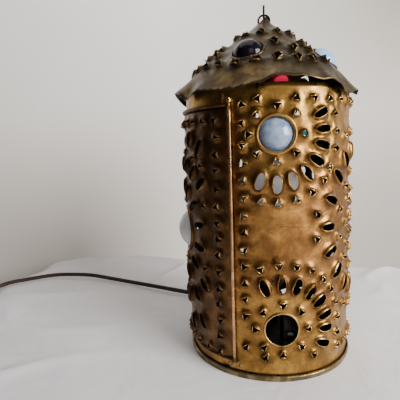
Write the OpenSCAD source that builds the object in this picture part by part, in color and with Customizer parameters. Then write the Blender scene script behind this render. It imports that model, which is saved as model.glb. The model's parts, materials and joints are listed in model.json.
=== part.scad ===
// Moroccan pierced brass lantern with glass jewels, a hinged door and an electric lamp inside.
// Millimetres. +Z is up, the origin is the centre of the base on the table, and the upper
// front jewel faces -Y. Angles round the body are counted from -Y towards +X.

/* [Body] */
// Outside diameter of the body tube
body_d = 140; // [138:1:142]
// Height of the body's upper edge above the table
body_top = 229; // [226:1:231]
// Thickness of the brass sheet
sheet = 0.8; // [0.7:0.1:0.9]
// Diameter of the jewel openings in the body and the roof
jewel_hole = 25; // [24:0.5:26]
// Height of the upper jewel rosettes
rosette_high = 190.5; // [188:0.5:192]
// Height of the middle rosettes
rosette_mid = 118; // [116:1:120]
// Height of the lower rosettes
rosette_low = 41.8; // [41:0.2:44]
// Angle between neighbouring columns of rosettes
column_step = 65; // [63:1:66]

/* [Piercing] */
// Length of a pierced slot
slot_l = 10.5; // [9:0.5:11]
// Width of a pierced slot
slot_w = 4.6; // [3.5:0.1:5]
// Radius of a three-cornered star puncture
star_r = 2.5; // [1.8:0.1:2.8]
// Radius of the ring of stars close round a jewel
ring_inner = 20; // [19:0.5:21]
// Radius of the ring of slots
ring_slots = 36.5; // [35:0.5:38]
// Radius of the outer ring of stars
ring_outer = 50.5; // [49:0.5:52]
// How much taller than wide a middle rosette is
mid_stretch = 1.28; // [1.2:0.02:1.3]

/* [Door] */
// Angle of the hinge pin
hinge_at = -28.8; // [-30:0.2:-28]
// Angle of the door's free edge
door_end = -140; // [-142:1:-138]
// Height of the door's lower edge
door_low = 14; // [13:0.5:15]
// Height of the door's upper edge
door_high = 213.4; // [212:0.2:214]
// Diameter of the large door jewel
door_jewel_d = 37; // [35:0.5:38]
// Height of the centre of the door jewel
door_jewel_z = 111; // [108:1:114]
// Angle of the turn button's rivet
latch_at = -147; // [-148:0.5:-146]

/* [Roof] */
// Height at which the straight sides of the cone would meet
cone_apex = 291.4; // [290:0.2:293]
// Slope of the cone, degrees from level
cone_slope = 38.5; // [38:0.5:39]
// Mean radius of the wavy eave
eave_r = 79; // [78:0.5:80]
// Mean drop of the eave's edge below the straight sides of the cone
eave_drop = -2.8; // [-3.5:0.1:-2]
// Diameter of the hanging ring, to the middle of its wire
ring_d = 9.7; // [9.4:0.1:10]
// Diameter of the wire of the loop and the ring
wire_d = 1.8; // [1.6:0.1:1.9]
// Turn of the apex loop about the upright axis
loop_turn = -7.5; // [-15:0.5:0]

/* [Lamp] */
// Height of the strap that carries the lamp socket
strap_h = 44; // [40:1:46]
// Outside radius of the socket's brass shell
socket_r = 15.9; // [15.9:0.05:16.2]
// Radius of the bulb's screw cap
bulb_cap_r = 13.03; // [12.98:0.01:13.03]
// Radius of the bulb's glass
bulb_r = 30; // [28:1:31]
// Angle where the cord leaves the body
cord_at = -165; // [-168:1:-163]
// Radius of each of the cord's two cores with its covering
core_r = 1.4; // [1.3:0.1:1.4]

/* [Hidden] */
$fn = 48;
body_r = body_d / 2;
inner_r = body_r - sheet;
mm_per_deg = body_r * PI / 180;
thin = 0.05;

// ---- places on the body and the roof ----

// Puts a shape on the tube at an angle and a height: its X runs round the tube, Y up, Z outward
module on_tube(at, z, r = body_r) {
    rotate([0, 0, at]) translate([0, -r, z]) rotate([90, 0, 0]) children();
}

// Puts a shape on the cone at an angle and a radius, with its Z along the outward normal
module on_cone(at, r, lift = 0) {
    rotate([0, 0, at]) translate([0, -r, cone_z(r)]) rotate([cone_slope, 0, 0])
        translate([0, 0, lift]) children();
}

// A curved plate between two radii, two angles and two heights
module tube_wall(r1, r2, from, to, z1, z2) {
    rotate([0, 0, from - 90]) rotate_extrude(angle = to - from, $fn = 120)
        translate([r1, z1]) square([r2 - r1, z2 - z1]);
}

// A round bar bent to follow the tube
module tube_wire(r, wire_r, from, to, z) {
    rotate([0, 0, from - 90]) rotate_extrude(angle = to - from, $fn = 120)
        translate([r, z]) circle(r = wire_r, $fn = 24);
}

module ring(outer, inner, h) {
    difference() {
        cylinder(r = outer, h = h);
        translate([0, 0, -1]) cylinder(r = inner, h = h + 2);
    }
}

// ---- the piercing: every slot and every star is [angle, height, turn] ----

// A rosette is [angle, height, slots in its ring, first slot, stretch upward, first outer star,
// radius of the ring of slots, radius of the outer ring of stars]
front_up = [-1, rosette_high, 19, -90, 1, -88.6, ring_slots, ring_outer];
front_low = [1.5, rosette_low, 19, 91, 1, 93, ring_slots, ring_outer];
side_mid = [column_step + 5, rosette_mid + 2, 18, 120, mid_stretch, 127, 45, 57];
rear_up = [2 * column_step, rosette_high, 19, -90, 1, -90, ring_slots, ring_outer];
rear_low = [2 * column_step, rosette_low, 19, 90, 1, 90, ring_slots, ring_outer];
back_mid = [3 * column_step, rosette_mid, 14, 90, mid_stretch, 97, ring_slots, ring_outer];
holed_rosettes = [front_up, front_low, rear_up, rear_low, back_mid];
body_rosettes = concat(holed_rosettes, [side_mid]);
door_mid = (hinge_at + door_end) / 2;
door_rosette = [door_mid, door_jewel_z, 14, 38, 1.05, 30, ring_slots, ring_outer];

function ring_angle(c, r, a) = c[0] + r * cos(a) / mm_per_deg;
function ring_height(c, r, a) = c[1] + r * sin(a) * c[4];
function slots_of(c) = [for (i = [0:c[2] - 1]) let (a = c[3] + i * 360 / c[2])
    [ring_angle(c, c[6], a), ring_height(c, c[6], a), a]];
function inner_stars_of(c) = [for (i = [0:7]) let (a = 90 + i * 45)
    [ring_angle(c, ring_inner, a), ring_height(c, ring_inner, a), a]];
function outer_stars_of(c) = [for (i = [0:23]) let (a = c[5] + i * 15)
    [ring_angle(c, c[7], a), ring_height(c, c[7], a), a]];
// Two more rings of stars and one in the middle, where a rosette has no jewel opening
function middle_stars_of(c) = concat([[c[0], c[1], 0]], [for (r = [9, 32]) for (i = [0:11])
    if (r > 20 || i < 5) let (a = i * (r > 20 ? 30 : 72) + 14) [ring_angle(c, r, a), ring_height(c, r, a), a]]);
function gap(p, q) = norm([(p[0] - q[0]) * mm_per_deg, p[1] - q[1]]);
function inside(p, box) = p[0] > box[0] && p[0] < box[1] && p[1] > box[2] && p[1] < box[3];
function clear_of(p, others, reach) = len([for (q = others) if (gap(p, q) < reach) 1]) == 0;
// The places of a list that lie in the box and keep their distance from the others
function kept(list, box, others, reach) =
    [for (p = list) if (inside(p, box) && clear_of(p, others, reach)) p];
// The list without any place that is too close to an earlier one
function spaced(list, reach, i = 0, done = []) = i >= len(list) ? done
    : spaced(list, reach, i + 1, clear_of(list[i], done, reach) ? concat(done, [list[i]]) : done);
function flat(lists) = [for (l = lists) for (p = l) p];

edge_column = 7.8;
row_pitch = 11.2;
column_pitch = 13.1;
top_row = 215.5;
bottom_row = 19.5;
function column_z(i) = 26 + i * column_pitch + (i > 12 ? 3 : 0);
body_box = [hinge_at + 13, 360 + door_end - 16, bottom_row + 6, top_row - 4];
star_box = [hinge_at + 10.5, body_box[1], bottom_row, body_box[3]];
body_slots = spaced(flat([for (c = body_rosettes) kept(slots_of(c), body_box, [], 0)]), 9);
body_edges = concat(
    [for (i = [0:14]) [hinge_at + edge_column, column_z(i), 37 * i]],
    [for (i = [0:14]) [360 + door_end - 2 * edge_column, column_z(i), 53 * i]],
    [for (i = [0:19]) [hinge_at + 17 + i * row_pitch, top_row, 71 * i]],
    [for (i = [0:20]) [hinge_at + 21.5 + i * 10.4, bottom_row, 29 * i]]);
body_stars = spaced(concat(
    kept(flat([for (c = body_rosettes) inner_stars_of(c)]), star_box, body_slots, 9),
    middle_stars_of(side_mid),
    kept(body_edges, [-180, 360, 0, body_top], body_slots, 9),
    kept(flat([for (c = body_rosettes) outer_stars_of(c)]), star_box, body_slots, 9)), 7);

door_box = [door_end + 16.5, hinge_at - 16.5, 27, 195];
// The slots of a ring n long, grown outward from the middle of the door
function door_ring(n, first, grow) = [for (s = slots_of([door_mid, door_jewel_z, n, first, 1, 0, ring_slots]))
    [door_mid + grow * (s[0] - door_mid), door_jewel_z + grow * (s[1] - door_jewel_z), s[2]]];
door_slots = kept(concat(slots_of(door_rosette), door_ring(24, 1, 1.6), door_ring(32, 5, 2.25)),
    door_box, [], 0);
door_edges = concat(
    [for (i = [0:14]) [hinge_at - 9.7, 18.5 + i * 13.2, 41 * i]],
    [for (i = [0:14]) [door_end + 9.7, 18.5 + i * 13.2, 67 * i]],
    [for (i = [1:8]) [hinge_at - 9.7 - i * 10.2, 204, 31 * i]],
    [for (i = [1:8]) [hinge_at - 9.7 - i * 10.2, 18.5, 31 * i]]);
// Stars round the middle of the door, one every step degrees
function door_star_ring(r, step) = [for (i = [0:360 / step - 1]) let (a = (i + 0.5) * step)
    [ring_angle(door_rosette, r, a), ring_height(door_rosette, r, a), a]];
door_stars = spaced(concat(door_edges, kept(
    concat(door_star_ring(26, 30), outer_stars_of(door_rosette), door_star_ring(70, 10)),
    door_box, door_slots, 9)), 7);

// One pierced slot: a pointed lens, long side along X, as a punch through the sheet
module slot_punch() {
    linear_extrude(10, center = true)
        polygon([for (i = [0:9]) [slot_l / 2 * cos(36 * i), slot_w / 2 * sin(36 * i)]]);
}

module star_punch() {
    linear_extrude(10, center = true) circle(r = star_r, $fn = 3);
}

module punches(slots, stars) {
    for (s = slots) on_tube(s[0], s[1]) rotate([0, 0, s[2]]) slot_punch();
    for (s = stars) on_tube(s[0], s[1]) rotate([0, 0, s[2]]) star_punch();
}

// ---- jewels: a glass dome on a flat flange, held from behind by a soldered cup ----

flange_t = 1.6;
flange_w = 1.6;
dome_gap = 0.25;
// Depth of a flat seat of this radius behind a curved wall
function seat_depth(r, wall) = wall - sqrt(wall * wall - r * r) + 0.15;
dome_r = jewel_hole / 2 - dome_gap;
seat = sheet + seat_depth(dome_r + flange_w, inner_r);
door_in = body_r + 0.6;
door_out = door_in + sheet;
door_dome_r = door_jewel_d / 2;
door_seat = sheet + seat_depth(door_dome_r + flange_w, door_in);

// Dome of a base radius and a height, standing on its flange; z = 0 is the flange's front
module cabochon(r, h) {
    ball = (r * r + h * h) / (2 * h);
    translate([0, 0, -flange_t]) cylinder(r = r + flange_w, h = flange_t);
    intersection() {
        translate([0, 0, h - ball]) sphere(r = ball, $fn = 96);
        cylinder(r = r, h = h + 1);
    }
}

// Cup round the flange, open to the front, with a lip behind the glass
module cup(r, tall) {
    translate([0, 0, -flange_t - 0.05]) difference() {
        cylinder(r = r + flange_w + 0.9, h = tall);
        translate([0, 0, -1]) cylinder(r = r + flange_w + 0.1, h = tall + 2);
    }
    translate([0, 0, -flange_t - 0.85]) ring(r + flange_w + 0.9, r - 1.5, 0.8);
}

// Raised rim round a jewel opening, bent to the wall it stands on
module tube_bezel(at, z, hole_r, wall) {
    intersection() {
        ring_wall(wall + thin, wall + 2.2);
        on_tube(at, z, wall - 5) ring(hole_r + 2.5, hole_r + 0.1, 12);
    }
}

module ring_wall(r1, r2) {
    difference() {
        cylinder(r = r2, h = body_top, $fn = 120);
        translate([0, 0, -1]) cylinder(r = r1, h = body_top + 2, $fn = 120);
    }
}

body_jewels = [front_up, rear_up, rear_low, back_mid];

// ---- body ----

body_foot = sheet;
opening_lap = 3;
grommet_z = 11;
grommet_r = 4.4;
rivet_r = 1.2;

module body_shell() {
    color("goldenrod") difference() {
        translate([0, 0, body_foot]) difference() {
            cylinder(r = body_r, h = body_top - body_foot, $fn = 120);
            translate([0, 0, -1]) cylinder(r = inner_r, h = body_top + 2, $fn = 120);
        }
        tube_wall(body_r - 8, body_r + 8, door_end + opening_lap, hinge_at - opening_lap,
            door_low + 3, door_high - 3);
        for (c = holed_rosettes) on_tube(c[0], c[1], body_r - 8) cylinder(r = jewel_hole / 2, h = 16);
        on_tube(cord_at, grommet_z, body_r - 8) cylinder(r = grommet_r, h = 16);
        on_tube(latch_at, door_mid_z, body_r - 8) cylinder(r = rivet_r, h = 16);
        punches(body_slots, body_stars);
    }
}

pan_wall_r = body_r + 1.8;
module base_pan() {
    color("goldenrod") difference() {
        union() {
            cylinder(r = pan_wall_r, h = sheet, $fn = 120);
            tube_wall(pan_wall_r - sheet, pan_wall_r, 0, 360, 0, 3.6);
            rotate_extrude($fn = 120) translate([pan_wall_r - 0.3, 3.6]) circle(r = 0.9, $fn = 24);
        }
        for (s = [-1, 1]) translate([s * strap_foot, 0, -1]) cylinder(r = strap_rivet_r, h = 4);
    }
}

// ---- roof: a cone with a wavy eave ----

cone_k = tan(cone_slope);
blunt_r = 2.5;
ruffle_r = 64;
roof_drop = sheet / cos(cone_slope);
function cone_z(r) = r < blunt_r ? cone_apex - cone_k * (r * r + blunt_r * blunt_r) / (2 * blunt_r)
    : cone_apex - cone_k * r;
function ease(t) = t <= 0 ? 0 : t >= 1 ? 1 : t * t * (3 - 2 * t);
// The folds bent by hand into the eave: [angle, rise or drop at the edge, half width in degrees]
folds = [[-85, 5, 12], [-62, -4.5, 7], [-33, -3, 9], [-21, -1.2, 7], [2, 3.2, 9], [13, 3.2, 7],
    [30, 2.6, 6], [47, -5.5, 9], [63, -2, 10], [80, -2.5, 9], [97, 2.5, 8], [117, -3, 9], [138, 3, 9],
    [160, -3, 9], [182, 2.5, 9], [204, -3, 9], [226, 3, 9], [249, -3, 8]];
function turn_between(a, b) = (a - b + 900) % 360 - 180;
// Height of the eave's edge above the plain cone at an angle
function edge_lift(a) = eave_drop
    + [for (f = folds) f[1] * exp(-pow(turn_between(a, f[0]) / f[2], 2))] * [for (f = folds) 1];
function edge_share(r) = ease((r - ruffle_r) / (eave_r - ruffle_r));
function roof_z(r, a) = cone_z(r) + edge_lift(a) * edge_share(r);
// The edge that is bent down also comes in a little
function roof_r(r, a) = r + 0.35 * min(edge_lift(a), 2) * edge_share(r);

roof_rings = [0.6, 1.5, 2.5, 5, 16, 40, 64, 68, 72, 75.5, eave_r];
roof_steps = 96;
roof_n = len(roof_rings);
roof_points = [for (low = [0, 1]) for (r = roof_rings) for (i = [0:roof_steps - 1])
    let (a = 360 * i / roof_steps, q = roof_r(r, a))
    [q * sin(a), -q * cos(a), roof_z(r, a) - low * roof_drop]];
function roof_at(low, ring_i, i) = (low * roof_n + ring_i) * roof_steps + (i % roof_steps);
roof_faces = concat(
    [for (k = [0:roof_n - 2]) for (i = [0:roof_steps - 1]) for (t = [0, 1]) t == 0
        ? [roof_at(0, k, i), roof_at(0, k, i + 1), roof_at(0, k + 1, i)]
        : [roof_at(0, k, i + 1), roof_at(0, k + 1, i + 1), roof_at(0, k + 1, i)]],
    [for (k = [0:roof_n - 2]) for (i = [0:roof_steps - 1]) for (t = [0, 1]) t == 0
        ? [roof_at(1, k, i), roof_at(1, k + 1, i), roof_at(1, k, i + 1)]
        : [roof_at(1, k, i + 1), roof_at(1, k + 1, i), roof_at(1, k + 1, i + 1)]],
    [for (i = [0:roof_steps - 1]) for (t = [0, 1]) t == 0
        ? [roof_at(0, roof_n - 1, i), roof_at(0, roof_n - 1, i + 1), roof_at(1, roof_n - 1, i)]
        : [roof_at(0, roof_n - 1, i + 1), roof_at(1, roof_n - 1, i + 1), roof_at(1, roof_n - 1, i)]],
    [for (i = [0:roof_steps - 1]) for (t = [0, 1]) t == 0
        ? [roof_at(0, 0, i), roof_at(1, 0, i), roof_at(0, 0, i + 1)]
        : [roof_at(0, 0, i + 1), roof_at(1, 0, i), roof_at(1, 0, i + 1)]]);

// A roof jewel is [angle, radius]
amethyst_at = [-24.5, 43.8];
blue_at = [70, 49.3];
red_at = [152.5, 53.6];
smoke_at = [-117.5, 42];
roof_jewels = [amethyst_at, blue_at, red_at, smoke_at];
roof_seat = sheet + 2;
roof_dome_h = 10.5;

wire_r = wire_d / 2;
loop_r = 4.8;
loop_z = cone_apex - 1.7;
ring_pivot = loop_z + loop_r - 2.5;

// The apex loop's bar, with a radius
module loop_bar(r) {
    rotate([0, 0, loop_turn]) translate([0, 0, loop_z]) rotate([90, 0, 0])
        rotate_extrude($fn = 48) translate([loop_r, 0]) circle(r = r, $fn = 24);
}

module roof() {
    color("darkgoldenrod") difference() {
        polyhedron(points = roof_points, faces = roof_faces, convexity = 6);
        for (j = roof_jewels) on_cone(j[0], j[1], -10) cylinder(r = jewel_hole / 2, h = 20);
        loop_bar(wire_r + 0.15);
    }
}

tab_count = 6;
tab_w = 7;
// Top of the tab at an angle, a little under the lowest fold of the roof over it
function tab_top(a) = min([for (t = [-1, 0, 1]) roof_z(inner_r + 1, a + t * tab_w / 2)])
    - roof_drop - 1.2;
module roof_tabs() {
    color("goldenrod") for (i = [0:tab_count - 1]) {
        a = 10 + i * 360 / tab_count;
        tube_wall(inner_r - sheet - thin, inner_r - thin, a - tab_w / 2, a + tab_w / 2,
            body_top - 11, tab_top(a));
    }
}

module roof_bezels() {
    color("goldenrod") for (j = roof_jewels) on_cone(j[0], j[1], 0) difference() {
        translate([0, 0, -0.2]) cylinder(r = jewel_hole / 2 + 4, h = 2);
        translate([0, 0, -3]) cylinder(r = jewel_hole / 2 + 0.1, h = 8);
        under_cone(j, 0.45);
    }
}

// Everything below the cone's outer surface raised by a lift, seen from a roof jewel's own place
module under_cone(j, lift) {
    low = cone_apex - 90;
    rotate([-cone_slope, 0, 0]) translate([0, j[1], -cone_z(j[1])])
        rotate([0, 0, -j[0]]) translate([0, 0, low + lift / cos(cone_slope)])
        cylinder(r1 = (cone_apex - low) / cone_k, r2 = 0, h = cone_apex - low, $fn = 96);
}

module roof_jewel_cups() {
    color("goldenrod") for (j = roof_jewels) on_cone(j[0], j[1], -roof_seat)
        cup(dome_r, flange_t + 0.3);
}

module roof_jewel(j) {
    on_cone(j[0], j[1], -roof_seat) cabochon(dome_r, roof_dome_h);
}

module roof_jewel_amethyst() {
    color("indigo") roof_jewel(amethyst_at);
}

module roof_jewel_blue() {
    color("lightblue") roof_jewel(blue_at);
}

module roof_jewel_red() {
    color("crimson") roof_jewel(red_at);
}

module roof_jewel_smoke() {
    color("dimgray") roof_jewel(smoke_at);
}

// ---- apex: a wire loop threaded through the tip of the cone, and the ring that it holds ----

module apex_loop() {
    color("dimgray") loop_bar(wire_r);
}

module hanging_ring() {
    color("dimgray") rotate([0, 0, loop_turn]) translate([0, 0, ring_pivot + ring_d / 2])
        rotate([0, 90, 0])
        rotate_extrude($fn = 48) translate([ring_d / 2, 0]) circle(r = wire_r, $fn = 24);
}

// ---- jewels of the body ----

module body_bezels() {
    color("goldenrod") for (c = body_jewels) tube_bezel(c[0], c[1], jewel_hole / 2, body_r);
}

module body_jewel_cups() {
    color("goldenrod") intersection() {
        cylinder(r = inner_r - thin, h = body_top, $fn = 120);
        union() for (c = body_jewels) on_tube(c[0], c[1], body_r - seat) cup(dome_r, flange_t + 1);
    }
}

body_dome_h = 7;
module body_jewel(c) {
    on_tube(c[0], c[1], body_r - seat) cabochon(dome_r, body_dome_h);
}

module front_jewel_opal() {
    color("aliceblue") body_jewel(front_up);
}

module rear_jewel_teal() {
    color("teal") body_jewel(rear_up);
}

module rear_jewel_amber() {
    color("orange") body_jewel(rear_low);
}

module rear_jewel_green() {
    color("seagreen") body_jewel(back_mid);
}

// ---- door: its sheet lies on the body and turns about a pin in two soldered eyes ----

hinge_r = body_r + 2;
pin_r = 0.8;
knuckle_r = 1.35;
run = 0.06;
rim_r = 1.5;
eye_t = 2;
top_eye_z = door_high + rim_r + 0.3;
low_eye_z = door_low - eye_t - 1.3;
door_mid_z = (door_low + door_high) / 2;

module hinge_pin() {
    color("goldenrod") on_hinge(low_eye_z - 1)
        cylinder(r = pin_r, h = top_eye_z + eye_t - low_eye_z + 2);
}

module on_hinge(z) {
    rotate([0, 0, hinge_at]) translate([0, -hinge_r, z]) children();
}

module hinge_eyes() {
    color("goldenrod") for (z = [low_eye_z, top_eye_z]) difference() {
        on_hinge(z) union() {
            cylinder(r = 1.7, h = eye_t);
            translate([-1.7, 0, 0]) cube([3.4, 3, eye_t]);
        }
        on_hinge(z - 1) cylinder(r = pin_r, h = eye_t + 2);
        cylinder(r = body_r, h = body_top, $fn = 120);
    }
}

module door_panel() {
    color("peru") difference() {
        union() {
            tube_wall(door_in, door_out, door_end, hinge_at - 0.75, door_low, door_high - rim_r);
            on_hinge(door_low + 0.4) cylinder(r = knuckle_r, h = door_high - rim_r - door_low - 0.8);
        }
        on_hinge(door_low - 1) cylinder(r = pin_r + run, h = door_high);
        on_tube(door_mid, door_jewel_z, body_r - 8) cylinder(r = door_dome_r + dome_gap, h = 16);
        punches(door_slots, door_stars);
    }
}

module door_rim_wires() {
    color("peru") {
        tube_wire(door_in + rim_r, rim_r, door_end, hinge_at - 2, door_high);
        tube_wire(door_in + 0.9, 0.9, door_end, hinge_at - 2, door_low - 0.95);
        rotate([0, 0, door_end]) translate([-0.95, -door_in - 0.9, door_low])
            cylinder(r = 0.9, h = door_high - rim_r - door_low - thin);
    }
}

module door_bezel() {
    color("goldenrod") tube_bezel(door_mid, door_jewel_z, door_dome_r + dome_gap, door_out);
}

door_dome_h = 13;
module door_jewel() {
    color("whitesmoke") on_tube(door_mid, door_jewel_z, door_out - door_seat)
        cabochon(door_dome_r, door_dome_h);
}

module door_jewel_cup() {
    color("goldenrod") intersection() {
        cylinder(r = door_in - thin, h = body_top, $fn = 120);
        on_tube(door_mid, door_jewel_z, door_out - door_seat) cup(door_dome_r, flange_t + 1);
    }
}

// ---- turn button behind the door's free edge ----

spacer_t = 3.4;
button_t = 0.8;
module latch_rivet() {
    color("goldenrod") on_tube(latch_at, door_mid_z, inner_r - 1) {
        cylinder(r = rivet_r - 0.02, h = sheet + 1 + spacer_t + button_t + 1.2);
        translate([0, 0, -0.8]) cylinder(r = 2.6, h = 1);
        translate([0, 0, sheet + 1 + spacer_t + button_t + 0.2]) cylinder(r = 2.6, h = 1);
    }
}

module latch_spacer() {
    color("goldenrod") on_tube(latch_at, door_mid_z, body_r + 0.06) ring(2.3, rivet_r, spacer_t - 0.1);
}

module latch_button() {
    color("goldenrod") on_tube(latch_at, door_mid_z, body_r + spacer_t + 0.05) difference() {
        linear_extrude(button_t) union() {
            circle(r = 3);
            translate([-3, -11]) square([6, 11]);
            translate([0, -11]) circle(r = 3);
        }
        translate([0, 0, -1]) cylinder(r = rivet_r + 0.05, h = button_t + 2);
    }
}

// ---- lamp: strap, nipple, socket and bulb on the centre line ----

strap_foot = 22;
strap_rivet_r = 1.5;
strap_t = 1.2;
strap_w = 16;
strap_z = sheet + strap_h;
nipple_r = 5;
nipple_bore = 3.3;
leg_x = 14;

module socket_strap() {
    color("goldenrod") difference() {
        translate([0, strap_w / 2, 0]) rotate([90, 0, 0]) linear_extrude(strap_w) union() {
            translate([-leg_x, strap_z - strap_t]) square([2 * leg_x, strap_t]);
            for (s = [-1, 1]) {
                translate([s * (leg_x - strap_t / 2) - strap_t / 2, sheet]) square([strap_t, strap_h]);
                translate([s > 0 ? leg_x - strap_t : -leg_x - 14, sheet]) square([14 + strap_t, strap_t]);
            }
        }
        translate([0, 0, strap_z - 5]) cylinder(r = nipple_r, h = 10);
        for (s = [-1, 1]) translate([s * strap_foot, 0, -1]) cylinder(r = strap_rivet_r, h = 6);
    }
}

module strap_rivets() {
    color("goldenrod") for (s = [-1, 1]) translate([s * strap_foot, 0, 0]) {
        cylinder(r = strap_rivet_r - 0.01, h = sheet + strap_t + 0.5);
        translate([0, 0, sheet + strap_t]) cylinder(r = 2.8, h = 1);
    }
}

nipple_z = strap_z - 5;
module strap_nipple() {
    color("goldenrod") translate([0, 0, nipple_z]) ring(nipple_r - 0.01, nipple_bore, 14);
}

module lock_nut() {
    color("goldenrod") translate([0, 0, strap_z - strap_t - 3]) difference() {
        cylinder(r = 8, h = 3, $fn = 6);
        translate([0, 0, -1]) cylinder(r = nipple_r, h = 5);
    }
}

cap_z = strap_z + 0.05;
shell_z = cap_z + 12;
shell_h = 42;
shell_t = 0.5;
module socket_cap() {
    color("saddlebrown") translate([0, 0, cap_z]) rotate_extrude($fn = 96) polygon([
        [nipple_r, 0], [7, 0], [7.4, 4.5], [13, 8], [socket_r + 0.8, 13], [socket_r + 0.8, 20],
        [socket_r + 0.1, 20], [socket_r + 0.1, 13.4], [12.5, 8.8], [7, 5.6], [nipple_r, 5.6]]);
}

module socket_shell() {
    color("saddlebrown") translate([0, 0, shell_z + 2]) {
        ring(socket_r, socket_r - shell_t, shell_h);
        translate([0, 0, 8]) rotate_extrude($fn = 96) translate([socket_r + 0.1, 0])
            circle(r = 0.5, $fn = 24);
        translate([0, 0, shell_h]) rotate_extrude($fn = 96) translate([socket_r - shell_t / 2, 0])
            circle(r = 0.45, $fn = 24);
    }
}

sleeve_r = socket_r - shell_t - 0.1;
sleeve_t = 0.9;
module socket_sleeve() {
    color("tan") translate([0, 0, shell_z + 2]) ring(sleeve_r, sleeve_r - sleeve_t, shell_h - 1);
}

block_r = sleeve_r - sleeve_t - 0.1;
block_h = 12;
block_z = shell_z + 2;
module socket_insulator() {
    color("black") translate([0, 0, block_z]) difference() {
        cylinder(r = block_r, h = block_h);
        for (s = [-1, 1]) translate([s > 0 ? 9 : -19, -4, 3]) cube([10, 8, 10]);
        for (s = [-1, 1]) translate([s * 6, 0, 7]) rotate([0, s * 90, 0]) cylinder(r = 1.3, h = 10);
    }
}

module terminal_screws() {
    color("silver") for (s = [-1, 1]) translate([s * 6.2, 0, block_z + 7]) rotate([0, s * 90, 0]) {
        cylinder(r = 1.28, h = 4.5);
        translate([0, 0, 3.3]) cylinder(r = 2.5, h = 1.6);
    }
}

screw_z = block_z + block_h + thin;
screw_in = bulb_cap_r + 0.07;
screw_h = 24;
module screw_shell() {
    color("goldenrod") translate([0, 0, screw_z]) {
        ring(screw_in + 0.4, screw_in, screw_h);
        ring(screw_in + 0.2, 7, 0.5);
    }
}

module centre_contact() {
    color("goldenrod") translate([0, 0, screw_z]) {
        cylinder(r = 3.5, h = 0.5);
        cylinder(r = 2, h = 2.2);
    }
}

tip_z = screw_z + 2.25;
cap_h = 22;
module bulb_contact() {
    color("silver") translate([0, 0, tip_z]) cylinder(r = 3.2, h = 1.2);
}

module bulb_insulator() {
    color("black") translate([0, 0, tip_z + 1.2]) rotate_extrude()
        polygon([[0, 0], [4.5, 0], [bulb_cap_r - 2, 3], [bulb_cap_r - 2, 3.5], [0, 3.5]]);
}

module bulb_cap() {
    color("silver") translate([0, 0, tip_z + 4.8]) difference() {
        cylinder(r = bulb_cap_r, h = cap_h);
        translate([0, 0, 0.6]) cylinder(r = bulb_cap_r - 0.4, h = cap_h);
    }
}

neck_r = bulb_cap_r - 0.5;
glass_t = 0.8;
glass_z = tip_z + 4.8 + 8;
ball_z = 56;
// Outline of the bulb's glass from the neck to the crown, with the wall set in by t
function bulb_outline(t) = concat([[neck_r - t, t]],
    [for (i = [0:4]) let (u = i / 4) [neck_r + (bulb_r - neck_r) * 0.72 * ease(u) - t, 15 + 22 * u]],
    [for (i = [0:11]) let (a = -30 + i * 10.9) [(bulb_r - t) * cos(a), ball_z + (bulb_r - t) * sin(a)]],
    [[0, ball_z + bulb_r - t]]);

module bulb_glass() {
    color("ivory") translate([0, 0, glass_z]) rotate_extrude($fn = 64) difference() {
        polygon(concat([[0, 0]], bulb_outline(0)));
        polygon(concat([[0, glass_t]], bulb_outline(glass_t)));
    }
}

module bulb_stem() {
    color("lightgray") translate([0, 0, glass_z + glass_t + thin]) {
        cylinder(r = 4, h = 20);
        cylinder(r = 1.6, h = 34);
    }
}

filament_z = glass_z + glass_t + 58;
module bulb_filament() {
    color("gray") for (s = [-1, 1]) {
        translate([s * 3, 0, glass_z + glass_t + 20.2]) rotate([0, s * 10, 0]) cylinder(r = 0.3, h = 38);
        translate([0, 0, filament_z - 0.6]) rotate([0, s * 90, 0]) cylinder(r = 0.4, h = 9.6);
    }
}

// ---- cord: two round cores side by side, up the nipple, out of the back and over the table ----

core_gap = 1.3;
cord_low = core_r;
riser_bend = 7;
drop_bend = 12;
drop_a = acos(1 - (grommet_z - cord_low) / (2 * drop_bend));
drop_l = 2 * drop_bend * sin(drop_a);
exit_r = body_r + 10;
// Where the cord reaches the table, measured out from the centre line, and where it turns there
table_r = exit_r + drop_l;
out = [sin(cord_at), -cos(cord_at)];
cord_bends = [table_r * out, (table_r + 11) * out, [-78, 112], [-236, 195], [-290, 200],
    [-348, 165], [-358, 118]];
bend_radii = [0, 15, 60, 90, 60, 34, 0];
last_bend = len(cord_bends) - 1;

function heading(p, q) = atan2(q[1] - p[1], q[0] - p[0]);
function turn(a, b) = let (d = b - a) d > 180 ? d - 360 : d < -180 ? d + 360 : d;
function dir(a) = [cos(a), sin(a)];
// The rounded corner at bend i, as points along its arc
function rounded(i) = let (
    a = heading(cord_bends[i - 1], cord_bends[i]),
    t = turn(a, heading(cord_bends[i], cord_bends[i + 1])),
    r = bend_radii[i], side = sign(t),
    from = cord_bends[i] - r * tan(abs(t) / 2) * dir(a),
    centre = from + side * r * dir(a + 90), n = ceil(abs(t) / 8))
    [for (k = [0:n]) centre - side * r * dir(a + 90 + t * k / n)];
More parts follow.
